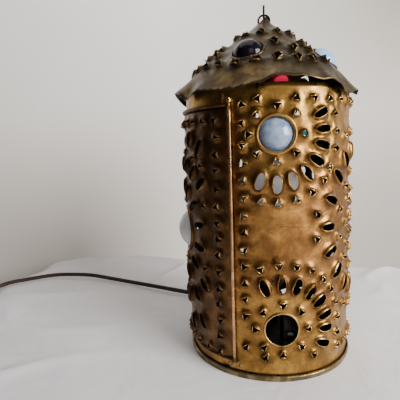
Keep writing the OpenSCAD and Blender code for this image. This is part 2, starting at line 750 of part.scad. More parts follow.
// Points in the upright plane through the centre line and the outlet: [distance out, height]
rise_path = concat([[0, shell_z]],
    [for (k = [0:6]) [riser_bend * (1 - cos(15 * k)), grommet_z + riser_bend * (1 - sin(15 * k))]],
    [for (k = [0:5]) [exit_r + drop_bend * sin(drop_a * k / 5),
        grommet_z - drop_bend * (1 - cos(drop_a * k / 5))]],
    [for (k = [4:-1:0]) [table_r - drop_bend * sin(drop_a * k / 5),
        cord_low + drop_bend * (1 - cos(drop_a * k / 5))]]);
table_path = concat(flat([for (i = [1:last_bend - 1]) rounded(i)]), [cord_bends[last_bend]]);
cord_path = concat([for (p = rise_path) [p[0] * out[0], p[0] * out[1], p[1]]],
    [for (p = table_path) [p[0], p[1], cord_low]]);
stations = len(cord_path);
function lobe_point(side, a) = [side * (core_gap + core_r * cos(a)), core_r * sin(a)];
lobe = concat([for (k = [0:6]) lobe_point(1, -145 + k * 290 / 6)],
    [for (k = [0:6]) lobe_point(-1, 145 - k * 290 / 6)]);
corners = len(lobe);
function unit(v) = v / norm(v);
function along(i) = unit(cord_path[min(i + 1, stations - 1)] - cord_path[max(i - 1, 0)]);
// The level direction across the cord, which the two cores keep to
function across(i) = let (t = along(i)) i < 9 ? [out[1], -out[0], 0] : unit([t[1], -t[0], 0]);
cord_points = [for (i = [0:stations - 1]) let (s = across(i), u = cross(s, along(i)))
    for (q = lobe) cord_path[i] + q[0] * s + q[1] * u];
function on_cord(i, k) = i * corners + k % corners;
cord_faces = concat([[for (k = [0:corners - 1]) k]],
    [[for (k = [corners - 1:-1:0]) on_cord(stations - 1, k)]],
    [for (i = [0:stations - 2]) for (k = [0:corners - 1])
        [on_cord(i, k), on_cord(i + 1, k), on_cord(i + 1, k + 1), on_cord(i, k + 1)]]);

module cord() {
    color("saddlebrown") polyhedron(points = cord_points, faces = cord_faces, convexity = 10);
}

module cord_grommet() {
    color("black") on_tube(cord_at, grommet_z, body_r) difference() {
        union() {
            translate([0, 0, -2.4]) cylinder(r = grommet_r - 0.05, h = 4);
            translate([0, 0, 0.4]) cylinder(r = 5.6, h = 1.2);
            translate([0, 0, -2.4]) cylinder(r = 5.6, h = 1.2);
        }
        translate([0, 0, -5]) linear_extrude(10) {
            for (s = [-1, 1]) translate([s * core_gap, 0]) circle(r = core_r + 0.1, $fn = 24);
            square([2 * core_gap, 3], center = true);
        }
    }
}

// ---- plug on the end of the cord, lying on its flat side ----

plug_w = 24;
plug_t = 9;
plug_l = 26;
module at_plug() {
    translate([cord_bends[last_bend][0], cord_bends[last_bend][1], 0])
        rotate([0, 0, heading(cord_bends[last_bend - 1], cord_bends[last_bend]) - 90]) children();
}

module plug_body() {
    color("saddlebrown") at_plug() difference() {
        linear_extrude(plug_t) polygon([[-4, -3], [4, -3], [5, 6], [plug_w / 2, 12],
            [plug_w / 2, plug_l], [-plug_w / 2, plug_l], [-plug_w / 2, 12], [-5, 6]]);
        translate([0, -4, cord_low]) rotate([-90, 0, 0]) linear_extrude(4.02) {
            for (s = [-1, 1]) translate([s * core_gap, 0]) circle(r = core_r + 0.05, $fn = 24);
            square([2 * core_gap, 3.2], center = true);
        }
        for (s = [-1, 1]) translate([s * 6.35 - 0.76, plug_l - 8, plug_t / 2 - 3.2]) cube([1.52, 9, 6.4]);
    }
}

module plug_blades() {
    color("silver") at_plug() for (s = [-1, 1])
        translate([s * 6.35 - 0.75, plug_l - 7.9, plug_t / 2 - 3.15]) cube([1.5, 24, 6.3]);
}

body_shell();
base_pan();
roof();
roof_tabs();
roof_bezels();
roof_jewel_cups();
roof_jewel_amethyst();
roof_jewel_blue();
roof_jewel_red();
roof_jewel_smoke();
apex_loop();
hanging_ring();
body_bezels();
body_jewel_cups();
front_jewel_opal();
rear_jewel_teal();
rear_jewel_amber();
rear_jewel_green();
hinge_pin();
hinge_eyes();
latch_rivet();
latch_spacer();
latch_button();
door_panel();
door_rim_wires();
door_bezel();
door_jewel();
door_jewel_cup();
socket_strap();
strap_rivets();
strap_nipple();
lock_nut();
socket_cap();
socket_shell();
socket_sleeve();
socket_insulator();
terminal_screws();
screw_shell();
centre_contact();
bulb_cap();
bulb_insulator();
bulb_contact();
bulb_glass();
bulb_stem();
bulb_filament();
cord_grommet();
cord();
plug_body();
plug_blades();
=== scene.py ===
import json
from math import acos, atan2, copysign, cos, dist, exp, hypot, pi, sin, tan

import bmesh
import bpy
import numpy as np
from mathutils import Matrix, Vector, kdtree, noise
from mathutils.geometry import delaunay_2d_cdt


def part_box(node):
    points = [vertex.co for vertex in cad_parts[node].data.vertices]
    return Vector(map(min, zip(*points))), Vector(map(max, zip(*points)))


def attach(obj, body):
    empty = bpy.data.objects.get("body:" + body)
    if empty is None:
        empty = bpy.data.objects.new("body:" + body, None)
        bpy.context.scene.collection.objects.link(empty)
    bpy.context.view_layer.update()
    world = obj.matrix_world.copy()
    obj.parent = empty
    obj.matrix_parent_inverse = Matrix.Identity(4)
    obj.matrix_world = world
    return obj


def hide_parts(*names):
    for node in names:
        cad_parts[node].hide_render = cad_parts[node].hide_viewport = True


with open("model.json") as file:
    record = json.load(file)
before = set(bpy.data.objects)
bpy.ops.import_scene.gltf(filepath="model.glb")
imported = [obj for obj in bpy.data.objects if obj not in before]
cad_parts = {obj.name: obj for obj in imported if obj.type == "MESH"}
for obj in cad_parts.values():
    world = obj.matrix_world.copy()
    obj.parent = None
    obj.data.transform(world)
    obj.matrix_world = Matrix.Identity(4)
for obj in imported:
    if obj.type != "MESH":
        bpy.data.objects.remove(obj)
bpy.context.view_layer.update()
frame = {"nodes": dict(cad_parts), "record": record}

# ---------------- sizes, in millimetres
MM = 0.001
DEG = pi / 180


def node_box(node):
    """Lowest and highest corners of a CAD node, in millimetres."""
    low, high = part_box(node)
    return low / MM, high / MM


shell_low, shell_high = node_box("body_shell")
BODY_R = shell_high.x
BODY_TOP = shell_high.z
BODY_FOOT = shell_low.z
SHEET = 0.5
DOOR_R = BODY_R + 1.4
JEWEL_HOLE = 12.5
door_low, door_high = node_box("door_panel")
DOOR_LOW, DOOR_HIGH = door_low.z, door_high.z + 1.5
HINGE_AT, DOOR_END = -28.8, -140.0
HINGE_R = BODY_R + 2.0
DOOR_MID = (HINGE_AT + DOOR_END) / 2
DOOR_JEWEL_Z, DOOR_JEWEL_R = 111.0, 18.5
CONE_APEX, CONE_SLOPE, BLUNT_R, EAVE_R = 291.4, 38.5 * DEG, 2.5, 79.0
RUFFLE_R = 62.0
CONE_K, CONE_COS, CONE_SIN = tan(CONE_SLOPE), cos(CONE_SLOPE), sin(CONE_SLOPE)
CORD_AT, GROMMET_Z = -165.0, 11.0
LATCH_AT, LATCH_Z = -147, 113.7
EYE = Vector((-46.3, -351.9, 181.1))  # where the camera is


def ease(t):
    t = min(max(t, 0.0), 1.0)
    return t * t * (3 - 2 * t)


def rough(x, y, scale, seed=0.0):
    """Smooth noise from -1 to 1 whose features are about scale millimetres across."""
    return noise.noise(Vector((x / scale, y / scale, seed)))


def rand(i, k=0.0):
    """A repeatable number from 0 to 1 for item i."""
    return sin(i * 12.9898 + k * 78.233 + 1.7) * 43758.5453 % 1.0


def around(u, v, r, a, stretch=1.0):
    """The point at distance r and angle a from (u, v), with its height stretched."""
    return u + r * cos(a), v + r * stretch * sin(a)


# ---------------- wall shapes
def tube_place(radius):
    """Places (round the tube, height, outward) points on an upright tube."""

    def place(u, v, w):
        a = u / radius
        return (radius + w) * sin(a), -(radius + w) * cos(a), v

    return place


def cone_z(r):
    if r < BLUNT_R:
        return CONE_APEX - CONE_K * (r * r + BLUNT_R * BLUNT_R) / (2 * BLUNT_R)
    return CONE_APEX - CONE_K * r


def cone_flat(at, r):
    """Place on the unrolled cone of an angle in degrees and a radius."""
    s, a = r / CONE_COS, at * DEG * CONE_COS
    return s * sin(a), -s * cos(a)


# the folds bent by hand into the eave: angle, rise or drop at the edge, half width in degrees
FOLDS = ((-85, 5, 12), (-62, -4.5, 7), (-33, -3, 9), (-21, -1.2, 7), (0, 4.6, 8), (12, 3.6, 7),
         (30, 2.6, 6), (47, -5.5, 9), (63, -2, 10), (80, -2.5, 9), (97, 2.5, 8), (117, -3, 9),
         (138, 3, 9), (160, -3, 9), (182, 2.5, 9), (204, -3, 9), (226, 3, 9), (249, -3, 8))
EAVE_DROP = -2.8


def edge_lift(a):
    """Height of the eave's edge above the plain cone at an angle in degrees."""
    lift = EAVE_DROP
    for at, rise, width in FOLDS:
        lift += rise * exp(-(((a - at + 900) % 360 - 180) / width) ** 2)
    return lift


def cone_place(x, y, w):
    s = hypot(x, y)
    r, at = s * CONE_COS, atan2(x, -y) / CONE_COS
    t = ease((r - RUFFLE_R) / (EAVE_R - RUFFLE_R))
    lift = edge_lift(at / DEG)
    out = r + 0.35 * min(lift, 2.0) * t + w * CONE_SIN
    peak = max(0.0, 1 - r / 6.0)
    return (out * sin(at) + 2.5 * peak, -out * cos(at) - 0.3 * peak,
            cone_z(r) + lift * t + w * CONE_COS + 3.4 * peak ** 1.2)


# ---------------- piercing
def star(u, v, turn, size=1.0):
    return dict(kind="star", u=u, v=v, turn=turn, reach=4.15 * size, size=size)


def slot(u, v, turn, size=1.0):
    return dict(kind="slot", u=u, v=v, turn=turn, reach=8.9 * size, size=size)


def opening(u, v, radius, lip):
    return dict(kind="opening", u=u, v=v, turn=0, reach=radius + 2.2, size=radius, lip=lip)


def far_from(f, others):
    """True where a feature keeps 0.1 mm or more clear of the others."""
    for g in others:
        du, dv = f["u"] - g["u"], f["v"] - g["v"]
        if hypot(du, dv) < reach_to(f, du, dv) + reach_to(g, du, dv) + 0.1:
            return False
    return True


def reach_to(f, du, dv):
    """How far a feature reaches from its centre in a direction."""
    if f["kind"] != "slot":
        return f["reach"]
    a = atan2(dv, du) - f["turn"]
    long, wide = f["reach"], 0.6 * f["reach"]
    return long * wide / hypot(wide * cos(a), long * sin(a))


def rosette(u, v, slots, first, stretch, stars, r_slot=36.5, r_star=50.5):
    """Slots on a ring and two rings of stars round a jewel opening. Angles in degrees."""
    found = []
    for i in range(slots):
        a = (first + i * 360 / slots) * DEG
        tilt = atan2(stretch * sin(a), cos(a))
        found.append(slot(*around(u, v, r_slot, a, stretch), tilt))
    for i in range(8):
        a = (90 + i * 45) * DEG
        found.append(star(*around(u, v, 20, a, stretch), a))
    for i in range(24):
        a = (stars + i * 15) * DEG
        found.append(star(*around(u, v, r_star, a, stretch), a))
    return found


def keep_clear(wanted, box, done):
    """Adds each wanted feature that lies in the box and clear of those before it."""
    left, right, low, high = box
    for f in wanted:
        if left < f["u"] < right and low < f["v"] < high and far_from(f, done):
            done.append(f)


# ---------------- sheet meshes
# the rings of each puncture from its outside in, each ending in its rise and wear
STAR_RINGS = ((4.15, 0.0, 0.0, 0.0), (3.95, 0.5, 0.5, 0.2), (3.75, 1.0, 1.0, 0.5))
SLOT_RINGS = ((8.9, 5.34, 0.0, 0.0), (8.1, 4.6, 0.6, 0.15), (7.4, 3.95, 1.25, 0.35))
LIP_RINGS = ((2.2, 0.0, 0.0), (1.5, 0.3, 0.2), (0.9, 1.0, 0.8), (0.4, 1.15, 1.0), (0.0, 0.8, 0.5))


def feature_rings(f):
    """The rings of a feature from its outside in, as lists of (x, y, rise, wear) in its own axes,
    and its loose flaps, as lists of rows that start on the last ring."""
    rings, flaps = [], []
    s, n = f["size"], f["id"]
    if f["kind"] == "star":
        for reach, flat_share, rise, wear in STAR_RINGS:
            ring = []
            for k in range(12):
                a = k * 30 * DEG
                edge = 0.53 / cos(((k * 30 + 60) % 120 - 60) * DEG)
                r = reach * s * (1 - flat_share + flat_share * edge)
                ring.append((*around(0, 0, r, a), rise, wear))
            rings.append(ring)
        for side in range(3):
            base = [(side * 4 + 2 + k) % 12 for k in range(5)]
            lean, tall = 0.5 * rand(n, 3 + side) - 0.32, s * (1.1 + 1.0 * rand(n, 7 + side))
            if f.get("hooded"):
                lean, tall = (0.15, 1.5 * s * 1.3) if side == 2 else (lean - 0.25, 0.8 * tall)
            flaps.append((base, lean, tall))
    elif f["kind"] == "slot":
        lips = (0.7 + 0.8 * rand(n, 1), 0.7 + 0.8 * rand(n, 2))
        turns = [around(0, 0, 1, k * 22.5 * DEG) for k in range(16)]
        for long, wide, rise, wear in SLOT_RINGS:
            rings.append([(long * s * x, wide * s * y, rise, wear) for x, y in turns])
        crest = []
        for x, y in turns:
            lip = lips[0] if y > 0 else lips[1]
            across = copysign(abs(x) ** 0.85, x), copysign(abs(y) ** 0.8, y)
            crest.append((6.9 * s * across[0], 3.25 * s * across[1], 1.5 + lip * abs(y) ** 0.7,
                          0.2 + 0.35 * abs(y)))
        rings.append(crest)
    else:
        for grow, rise, wear in LIP_RINGS:
            rings.append([(*around(0, 0, s + grow, k * 10 * DEG), rise * f["lip"], wear) for k in range(36)])
    return rings, flaps


def inside(points, loop):
    """For each point, whether it is inside the loop."""
    x, y = points[:, 0], points[:, 1]
    found = np.zeros(len(points), bool)
    p = np.array(loop)
    for (x1, y1), (x2, y2) in zip(p, np.roll(p, -1, axis=0)):
        if y1 != y2:
            crosses = (y1 > y) != (y2 > y)
            found ^= crosses & (x < (x2 - x1) * (y - y1) / (y2 - y1) + x1)
    return found


def cut_out(kept, points, features):
    """Drops from the kept points those inside the outer ring of a feature."""
    for f in features:
        d = np.hypot(points[:, 0] - f["u"], points[:, 1] - f["v"])
        idx = np.where((d < f["reach"]) & kept)[0]
        if len(idx):
            kept[idx[inside(points[idx], f["outer"])]] = False


ROW_SHARE = 0.866  # row spacing of a grid of equal triangles


def point_grid(outline, features, pitch):
    """Points of a triangular grid inside an outline, clear of it and of the features."""
    low, high = np.min(outline, axis=0), np.max(outline, axis=0)
    rows = int((high[1] - low[1]) / (pitch * ROW_SHARE)) + 1
    cols = int((high[0] - low[0]) / pitch) + 2
    grid = np.array([(low[0] + (i + 0.5 * (j % 2)) * pitch, low[1] + (j + 0.5) * pitch * ROW_SHARE)
                     for j in range(rows) for i in range(cols)])
    keep = inside(grid, outline)
    for loop in [outline] + [f["outer"] for f in features]:
        p = np.array(loop)
        d = np.roll(p, -1, axis=0) - p
        near = (abs(grid[:, 0] - p[:, 0].mean()) < np.ptp(p[:, 0]) / 2 + pitch) & keep
        idx = np.where(near)[0]
        if not len(idx):
            continue
        off = grid[idx][:, None, :] - p[None]
        t = np.clip((off * d[None]).sum(2) / np.maximum((d * d).sum(1), 1e-9)[None], 0, 1)
        gap = np.sqrt(((off - t[:, :, None] * d[None]) ** 2).sum(2)).min(1)
        keep[idx[gap < pitch * 0.45]] = False
    cut_out(keep, grid, features)
    return grid[keep]


def pierced_sheet(name, outline, features, place, pitch, dent):
    """A sheet with raised punctures: its flat outline, features, the wall it lies on, the spacing
    of its points and a function for its dents. Returns the object, thickened by a modifier."""
    for i, f in enumerate(features):
        f["id"] = i + len(name)
    centres = np.array([(f["u"], f["v"]) for f in features])
    hoods = any(f.get("hooded") for f in features)
    swells = {"star": 1.9 if hoods else 1.3, "slot": 1.6, "opening": 0.3}
    widths = {"star": 1.35, "slot": 0.95, "opening": 1.0}
    swell = np.array([swells[f["kind"]] for f in features])
    width = np.array([f["reach"] * widths[f["kind"]] for f in features])

    def bumps(points):
        d = np.hypot(points[:, None, 0] - centres[None, :, 0], points[:, None, 1] - centres[None, :, 1])
        return (swell[None, :] * np.exp(-((d / width[None, :]) ** 2))).max(axis=1)

    def rise_at(points):
        points = np.asarray(points, float)
        return bumps(points) + np.array([dent(x, y) for x, y in points])

    flat, edges = [], []

    def add_loop(points):
        start, count = len(flat), len(points)
        flat.extend(points)
        edges.extend((start + k, start + (k + 1) % count) for k in range(count))
        return range(start, start + count)

    add_loop(outline)
    for f in features:
        rings, f["flaps"] = feature_rings(f)
        u, v, c, s = f["u"], f["v"], cos(f["turn"]), sin(f["turn"])
        f["rings"] = [[(u + c * x - s * y, v + s * x + c * y, *rest) for x, y, *rest in ring]
                      for ring in rings]
        f["outer"] = [p[:2] for p in f["rings"][0]]
        f["rim"] = add_loop(f["outer"])
    flat.extend(map(tuple, point_grid(outline, features, pitch)))
    out = delaunay_2d_cdt([Vector(p) for p in flat], edges, [], 0, 1e-6)
    points, tris, origin = out[0], out[2], out[3]
    where = {old: new for new, olds in enumerate(origin) for old in olds}
    xy = np.array([(p.x, p.y) for p in points])
    tri = np.array(tris)
    mid = xy[tri].mean(axis=1)
    ok = inside(mid, outline)
    cut_out(ok, mid, features)
    faces = [tuple(t) for t in tri[ok]]
    verts = [place(x, y, w) for (x, y), w in zip(xy, rise_at(xy))]
    wear = [0.0] * len(verts)
    # grime and painted shade: darker on the swells round the punctures, and below on the walls of each hole's
    # mouth
    grime_and_shade = list(np.clip(bumps(xy) / 1.1, 0, 1) ** 1.5)
    for f in features:
        last = [where[k] for k in f["rim"]]
        base = rise_at([p[:2] for ring in f["rings"][1:] for p in ring])
        k = 0
        for ring in f["rings"][1:]:
            ids = []
            for x, y, up, worn in ring:
                ids.append(len(verts))
                verts.append(place(x, y, base[k] + up))
                wear.append(worn)
                # the hole's walls are darkened as painted shade, the less the more worn
                grime_and_shade.append(1 - worn)
                k += 1
            n = len(ids)
            for i in range(n):
                faces.append((last[i], last[(i + 1) % n], ids[(i + 1) % n], ids[i]))
            last = ids
        for side, lean, tall in f["flaps"]:
            foot = [last[i] for i in side]
            pts = [f["rings"][-1][i] for i in side]
            level = base[-1] + 1.0
            mx, my = (pts[0][0] + pts[4][0]) / 2, (pts[0][1] + pts[4][1]) / 2
            toward = (f["u"] - mx, f["v"] - my)

            def flap_point(along, share, height):
                px = pts[0][0] + (pts[4][0] - pts[0][0]) * along
                py = pts[0][1] + (pts[4][1] - pts[0][1]) * along
                verts.append(place(px + toward[0] * share, py + toward[1] * share, level + height))
                wear.append(0.7 + 0.3 * height / tall)
                grime_and_shade.append(0.0)
                return len(verts) - 1

            mids = [flap_point(a, 0.3 * lean, 0.55 * tall) for a in (0.33, 0.5, 0.67)]
            tip = flap_point(0.5, lean, tall)
            faces += [(foot[0], foot[1], mids[0]), (foot[1], foot[2], mids[1], mids[0]),
                      (foot[2], foot[3], mids[2], mids[1]), (foot[3], foot[4], mids[2]),
                      (mids[0], mids[1], tip), (mids[1], mids[2], tip)]
    mesh = bpy.data.meshes.new(name)
    mesh.from_pydata([Vector(p) * MM for p in verts], [], faces)
    for mark, values in (("wear", wear), ("grime_and_shade", grime_and_shade)):
        mesh.attributes.new(mark, "FLOAT", "POINT").data.foreach_set("value", np.array(values, np.float32))
    bm = bmesh.new()
    bm.from_mesh(mesh)
    bmesh.ops.remove_doubles(bm, verts=bm.verts, dist=0.02 * MM)
    bmesh.ops.recalc_face_normals(bm, faces=bm.faces)
    bm.to_mesh(mesh)
    bm.free()
    mesh.polygons.foreach_set("use_smooth", [True] * len(mesh.polygons))
    ob = add_object(name, mesh)
    skin = ob.modifiers.new("sheet", "SOLIDIFY")
    skin.thickness = SHEET * MM
    skin.offset = -1
    return ob


def add_object(name, data):
    ob = bpy.data.objects.new(name, data)
    bpy.context.scene.collection.objects.link(ob)
    return ob


def outline_of(corners, step=4.0):
    """A closed outline through the corners, with points about step apart."""
    loop = []
    for p, q in zip(corners, corners[1:] + corners[:1]):
        n = max(1, round(dist(p, q) / step))
        loop += [(p[0] + (q[0] - p[0]) * k / n, p[1] + (q[1] - p[1]) * k / n) for k in range(n)]
    return loop


def stand_in(ob, body, paint, *nodes):
    """Puts a piece on a CAD body, in place of the CAD nodes named."""
    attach(ob, body)
    if nodes:
        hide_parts(*nodes)


# ---------------- body
def u_of(at, radius=BODY_R):
    return at * DEG * radius


RISE_HIGH, RISE_MID, RISE_LOW = 190.5, 118.0, 41.8
jewels_on_body = [(-1.0, RISE_HIGH), (130.0, RISE_HIGH), (130.0, RISE_LOW), (195.0, RISE_MID)]
EMPTY_AT = 1.5
# angle, height, slots, first slot, stretch, first star, radius of the slots, radius of the stars
rosettes = ((-1.0, RISE_HIGH, 19, -90, 1.0, -88.6, 36.2, 50.5),
            (EMPTY_AT, RISE_LOW, 19, 91, 1.0, 93, 36.2, 50.5),
            (70.0, RISE_MID + 2, 18, 120, 1.28, 127, 45.0, 57.0),
            (130.0, RISE_HIGH, 19, -90, 1.0, -90, 36.5, 50.5),
            (130.0, RISE_LOW, 19, 90, 1.0, 90, 36.5, 50.5),
            (195.0, RISE_MID, 14, 90, 1.28, 97, 36.5, 50.5))
NEAR_SLOTS_END, FAR_SIDE_START = u_of(62), u_of(85)


def jittered(f, amount):
    n = f["u"] + 3 * f["v"]
    f["u"] += amount * (rand(n, 1) - 0.5)
    f["v"] += amount * (rand(n, 2) - 0.5)
    f["turn"] += 0.08 * amount * (rand(n, 3) - 0.5)
    f["size"] *= 1 + 0.1 * (rand(n, 4) - 0.5)
    return f


def column(at, radius=BODY_R):
    return [star(u_of(at, radius), 26 + 13.1 * i + (3 if i > 12 else 0), 0.65 * i) for i in range(15)]


def row(start, step, count, height):
    return [star(u_of(start + i * step), height, 1.24 * i) for i in range(count)]


def body_features():
    done = [opening(u_of(a), z, JEWEL_HOLE, 0.25) for a, z in jewels_on_body]
    done.append(opening(u_of(EMPTY_AT), RISE_LOW, JEWEL_HOLE, 0.9))
    done.append(opening(u_of(CORD_AT + 360), GROMMET_Z, 4.3, 0.05))
    done.append(opening(u_of(LATCH_AT + 360), LATCH_Z, 1.25, 0.05))
    slots, near, far = [], [], []
    for at, z, count, first, stretch, *rings in rosettes:
        found = rosette(u_of(at), z, count, first, stretch, *rings)
        slots += found[:count]
        near += found[count:count + 8]
        far += found[count + 8:]
        if count == 18:
            near.append(star(u_of(at), z, 0.3))
            near += [star(*around(u_of(at), z, r, a * DEG, stretch), a)
                     for r, step in ((10, 72), (32, 30)) for a in range(14, 374, step)]
    box = (u_of(-15.8), u_of(204), 25.5, 211.5)
    wide = (u_of(-18.3), u_of(204), 19.5, 211.5)
    whole = (u_of(-25), u_of(206), 10, 220)
    edges = column(-21) + column(204.4) + row(-11.8, 11.2, 20, 215.5) + row(-8.9, 10.3, 21, 20.0)
    for wanted, where in ((slots, box), (near, wide), (edges, whole), (far, wide)):
        keep_clear([jittered(f, 0.9) for f in wanted], where, done)
    return moved_aside(done)


def far_spots(features):
    """Where the lines from the camera through the near slots meet the far side of the tube."""
    spots = []
    for f in features:
        if f["kind"] != "slot" or f["u"] > NEAR_SLOTS_END:
            continue
        for along in (-5.6, -2.8, 0.0, 2.8, 5.6):
            for across in (-2.3, 0.0, 2.3):
                c, s = cos(f["turn"]), sin(f["turn"])
                a = (f["u"] + c * along - s * across) / BODY_R
                here = Vector((BODY_R * sin(a), -BODY_R * cos(a), f["v"] + s * along + c * across))
                go = here - EYE
                flat = go.x * go.x + go.y * go.y
                step = -2 * (here.x * go.x + here.y * go.y) / flat
                there = here + go * step
                if step > 0.05 and there.z > 0:
                    spots.append((atan2(there.x, -there.y) % (2 * pi) * BODY_R, there.z))
    return spots


def moved_aside(features):
    """Moves the far side's punctures a little, out of the way of what the near slots look at,
    and leaves out the few stars that cannot be moved far enough."""
    spots = far_spots(features)
    kept = [f for f in features if f["kind"] == "opening" or f["u"] < FAR_SIDE_START]
    for f in features:
        if f["kind"] == "opening" or f["u"] < FAR_SIDE_START:
            continue
        others = [g for g in features if g is not f]
        start, best, fewest = (f["u"], f["v"]), None, None
        for ring in (0.0, 1.5, 3.0, 4.5, 6.0, 7.5):
            for k in range(8 if ring else 1):
                f["u"], f["v"] = around(*start, ring, k * pi / 4)
                seen = sum(1 for u, v in spots if hypot(u - f["u"], v - f["v"])
                           < 0.75 * reach_to(f, u - f["u"], v - f["v"]))
                if (fewest is None or seen < fewest) and (not ring or far_from(f, others)):
                    best, fewest = (f["u"], f["v"]), seen
        f["u"], f["v"] = best
        if fewest == 0 or f["kind"] == "slot":
            kept.append(f)
    return kept


SEAM, OPEN_FROM, OPEN_TO = -34.5, -31.8, 223.0
OPEN_LOW, OPEN_HIGH = DOOR_LOW + 3, DOOR_HIGH - 3
u_seam, u_from, u_to = u_of(SEAM), u_of(OPEN_FROM), u_of(OPEN_TO)
u_end = u_of(SEAM + 360 + 4)


def body_outline():
    """The tube unrolled, with the door's opening in its edges and a dip in its top at the front."""
    loop = outline_of([(u_seam, BODY_FOOT), (u_end, BODY_FOOT), (u_end, OPEN_LOW), (u_to, OPEN_LOW),
                       (u_to, OPEN_HIGH), (u_end, OPEN_HIGH), (u_end, BODY_TOP), (u_seam, BODY_TOP),
                       (u_seam, OPEN_HIGH), (u_from, OPEN_HIGH), (u_from, OPEN_LOW), (u_seam, OPEN_LOW)])
    return [(u, v - 2.2 * exp(-((u - u_of(20)) / 52) ** 2) if v > BODY_TOP - 0.1 else v)
            for u, v in loop]


def body_dent(u, v):
    """Waves of the hand-worked sheet, the pushed-in corner by the door and the lap of the seam."""
    wave = 0.45 * rough(u, v, 26, 1.0) + 0.16 * rough(u, v, 9, 5.0)
    calm = 1 - exp(-(((u - u_of(2)) / 22) ** 2 + ((v - 118) / 16) ** 2))
    wave *= 0.45 + 0.55 * calm
    corner = -2.6 * exp(-(((u - u_of(-24.5)) / 5.0) ** 2 + ((v - 30) / 9.0) ** 2))
    foot = ease((v - BODY_FOOT) / 12)
    lap = -1.0 * ease((u - (u_end - 13)) / 5)
    return wave * foot + corner + lap


body = pierced_sheet("body_pierced", body_outline(), body_features(), tube_place(BODY_R), 3.8, body_dent)
stand_in(body, "lantern", "body_brass", "body_shell")


# ---------------- door
u_door_mid = u_of(DOOR_MID, DOOR_R)


def door_features():
    done = [opening(u_door_mid, DOOR_JEWEL_Z, DOOR_JEWEL_R + 0.25, 0.3)]
    ring = rosette(u_door_mid, DOOR_JEWEL_Z, 14, 38, 1.05, 30)
    slots, stars = ring[:14], ring[22:]
    for count, first, grow in ((24, 1, 1.6), (32, 5, 2.25)):
        for s in rosette(0, 0, count, first, 1.0, 0)[:count]:
            slots.append(slot(u_door_mid + grow * s["u"], DOOR_JEWEL_Z + grow * s["v"], s["turn"]))
    for radius, step in ((27, 30), (70, 10)):
        for i in range(360 // step):
            a = (i + 0.5) * step * DEG
            stars.append(star(*around(u_door_mid, DOOR_JEWEL_Z, radius, a), a))
    sides = (u_of(DOOR_END + 9.7, DOOR_R), u_of(HINGE_AT - 9.7, DOOR_R))
    edges = [star(u, 18.5 + 13.2 * i, 0.7 * i + u) for u in sides for i in range(15)]
    edges += [star(sides[1] - 12.7 * i, v, 0.6 * i) for v in (18.8, 203.5) for i in range(1, 9)]
    box = (u_of(DOOR_END + 15, DOOR_R), u_of(HINGE_AT - 15, DOOR_R), 26, 196)
    whole = (sides[0] - 1, sides[1] + 1, 16, 208)
    for wanted, where in ((edges, whole), (slots, box), (stars, box)):
        keep_clear([jittered(f, 1.4) for f in wanted], where, done)
    return done


def door_dent(u, v):
    return 0.5 * rough(u, v, 24, 7.0) + 0.2 * rough(u, v, 8, 9.0)


left_edge, hinge_edge = u_of(DOOR_END, DOOR_R), u_of(HINGE_AT - 0.75, DOOR_R)
door_loop = outline_of([(left_edge, DOOR_LOW), (hinge_edge, DOOR_LOW), (hinge_edge, DOOR_HIGH - 1.5),
                        (left_edge, DOOR_HIGH - 1.5)])
door = pierced_sheet("door_pierced", door_loop, door_features(), tube_place(DOOR_R), 3.8, door_dent)
stand_in(door, "door", "door_brass", "door_panel")


# ---------------- roof
AMETHYST, BLUE, RED, SMOKE = (-24.5, 43.8), (70.0, 49.3), (152.5, 53.6), (-117.5, 42.0)
roof_jewels = (AMETHYST, BLUE, RED, SMOKE)


# rings of punctures: radius, count, first angle and size
ROOF_RINGS = ((58.4, 25, 1.4, 1.4), (47.0, 19, 0.6, 1.4), (38.9, 20, 5.2, 1.35), (23.0, 11, 20.9, 1.1),
              (29.5, 12, -6.0, 1.25), (66.5, 15, 0.6, 0.9))
BENT_RING = ROOF_RINGS[0][0]


def roof_features():
    """The stars, clear of the jewels. BENT_RING bulges outwards below the two inner jewels."""
    done = [opening(*cone_flat(at, r), JEWEL_HOLE, 0.25) for at, r in roof_jewels]
    inner_jewels = [a for a, far in roof_jewels if far < 46]
    for r, count, first, size in ROOF_RINGS:
        for i in range(count):
            at = first + i * 360 / count
            off = sum(exp(-(((at - a + 540) % 360 - 180) / 13) ** 2) for a in inner_jewels)
            out = r + (3.0 * off if r == BENT_RING else 0.0)
            x, y = cone_flat((at + 180) % 360 - 180, out)
            f = star(x, y, at * DEG * CONE_COS + pi / 2 + 0.9 * (rand(i, r) - 0.5), size)
            f = jittered(f, 1.8)
            f["hooded"] = True
            at_seam = not 6 <= (at + 180) % 360 <= 354
            skipped = r > 60 and i % 5 != 4
            if not at_seam and not skipped and far_from(f, done):
                done.append(f)
    return done


TIP_R = 0.6


def roof_outline():
    """Outer edge, then the seam at the back, the small hole at the top and the seam again."""
    radii = [EAVE_R - (EAVE_R - TIP_R) * k / 22 for k in range(23)]
    loop = [cone_flat(-180 + 360 * k / 150, EAVE_R) for k in range(151)]
    loop += [cone_flat(180, r) for r in radii[1:]]
    loop += [cone_flat(180 - 360 * k / 12, TIP_R) for k in range(1, 13)]
    loop += [cone_flat(-180, r) for r in radii[-2:0:-1]]
    return loop


def roof_dent(x, y):
    s = hypot(x, y)
    r, at = s * CONE_COS, atan2(x, -y) / CONE_COS
    px, py = r * sin(at), -r * cos(at)
    wave = 0.8 * rough(px, py, 24, 3.0) + 0.35 * rough(px, py, 8, 6.0)
    left = 2.0 * exp(-(((at / DEG + 80) / 26) ** 2 + ((r - 46) / 20) ** 2))
    right = -1.6 * exp(-(((at / DEG - 88) / 34) ** 2 + ((r - 62) / 16) ** 2))
    edge = ease((r - 66) / 13) * (1.5 * rough(at * 40, 0, 9, 4.0) + 1.2 * rough(at * 40, 0, 3.6, 8.0))
    return (wave + left + right) * ease((r - 5) / 14) + edge


roof = pierced_sheet("roof_pierced", roof_outline(), roof_features(), cone_place, 3.6, roof_dent)
stand_in(roof, "lantern", "roof_brass", "roof")


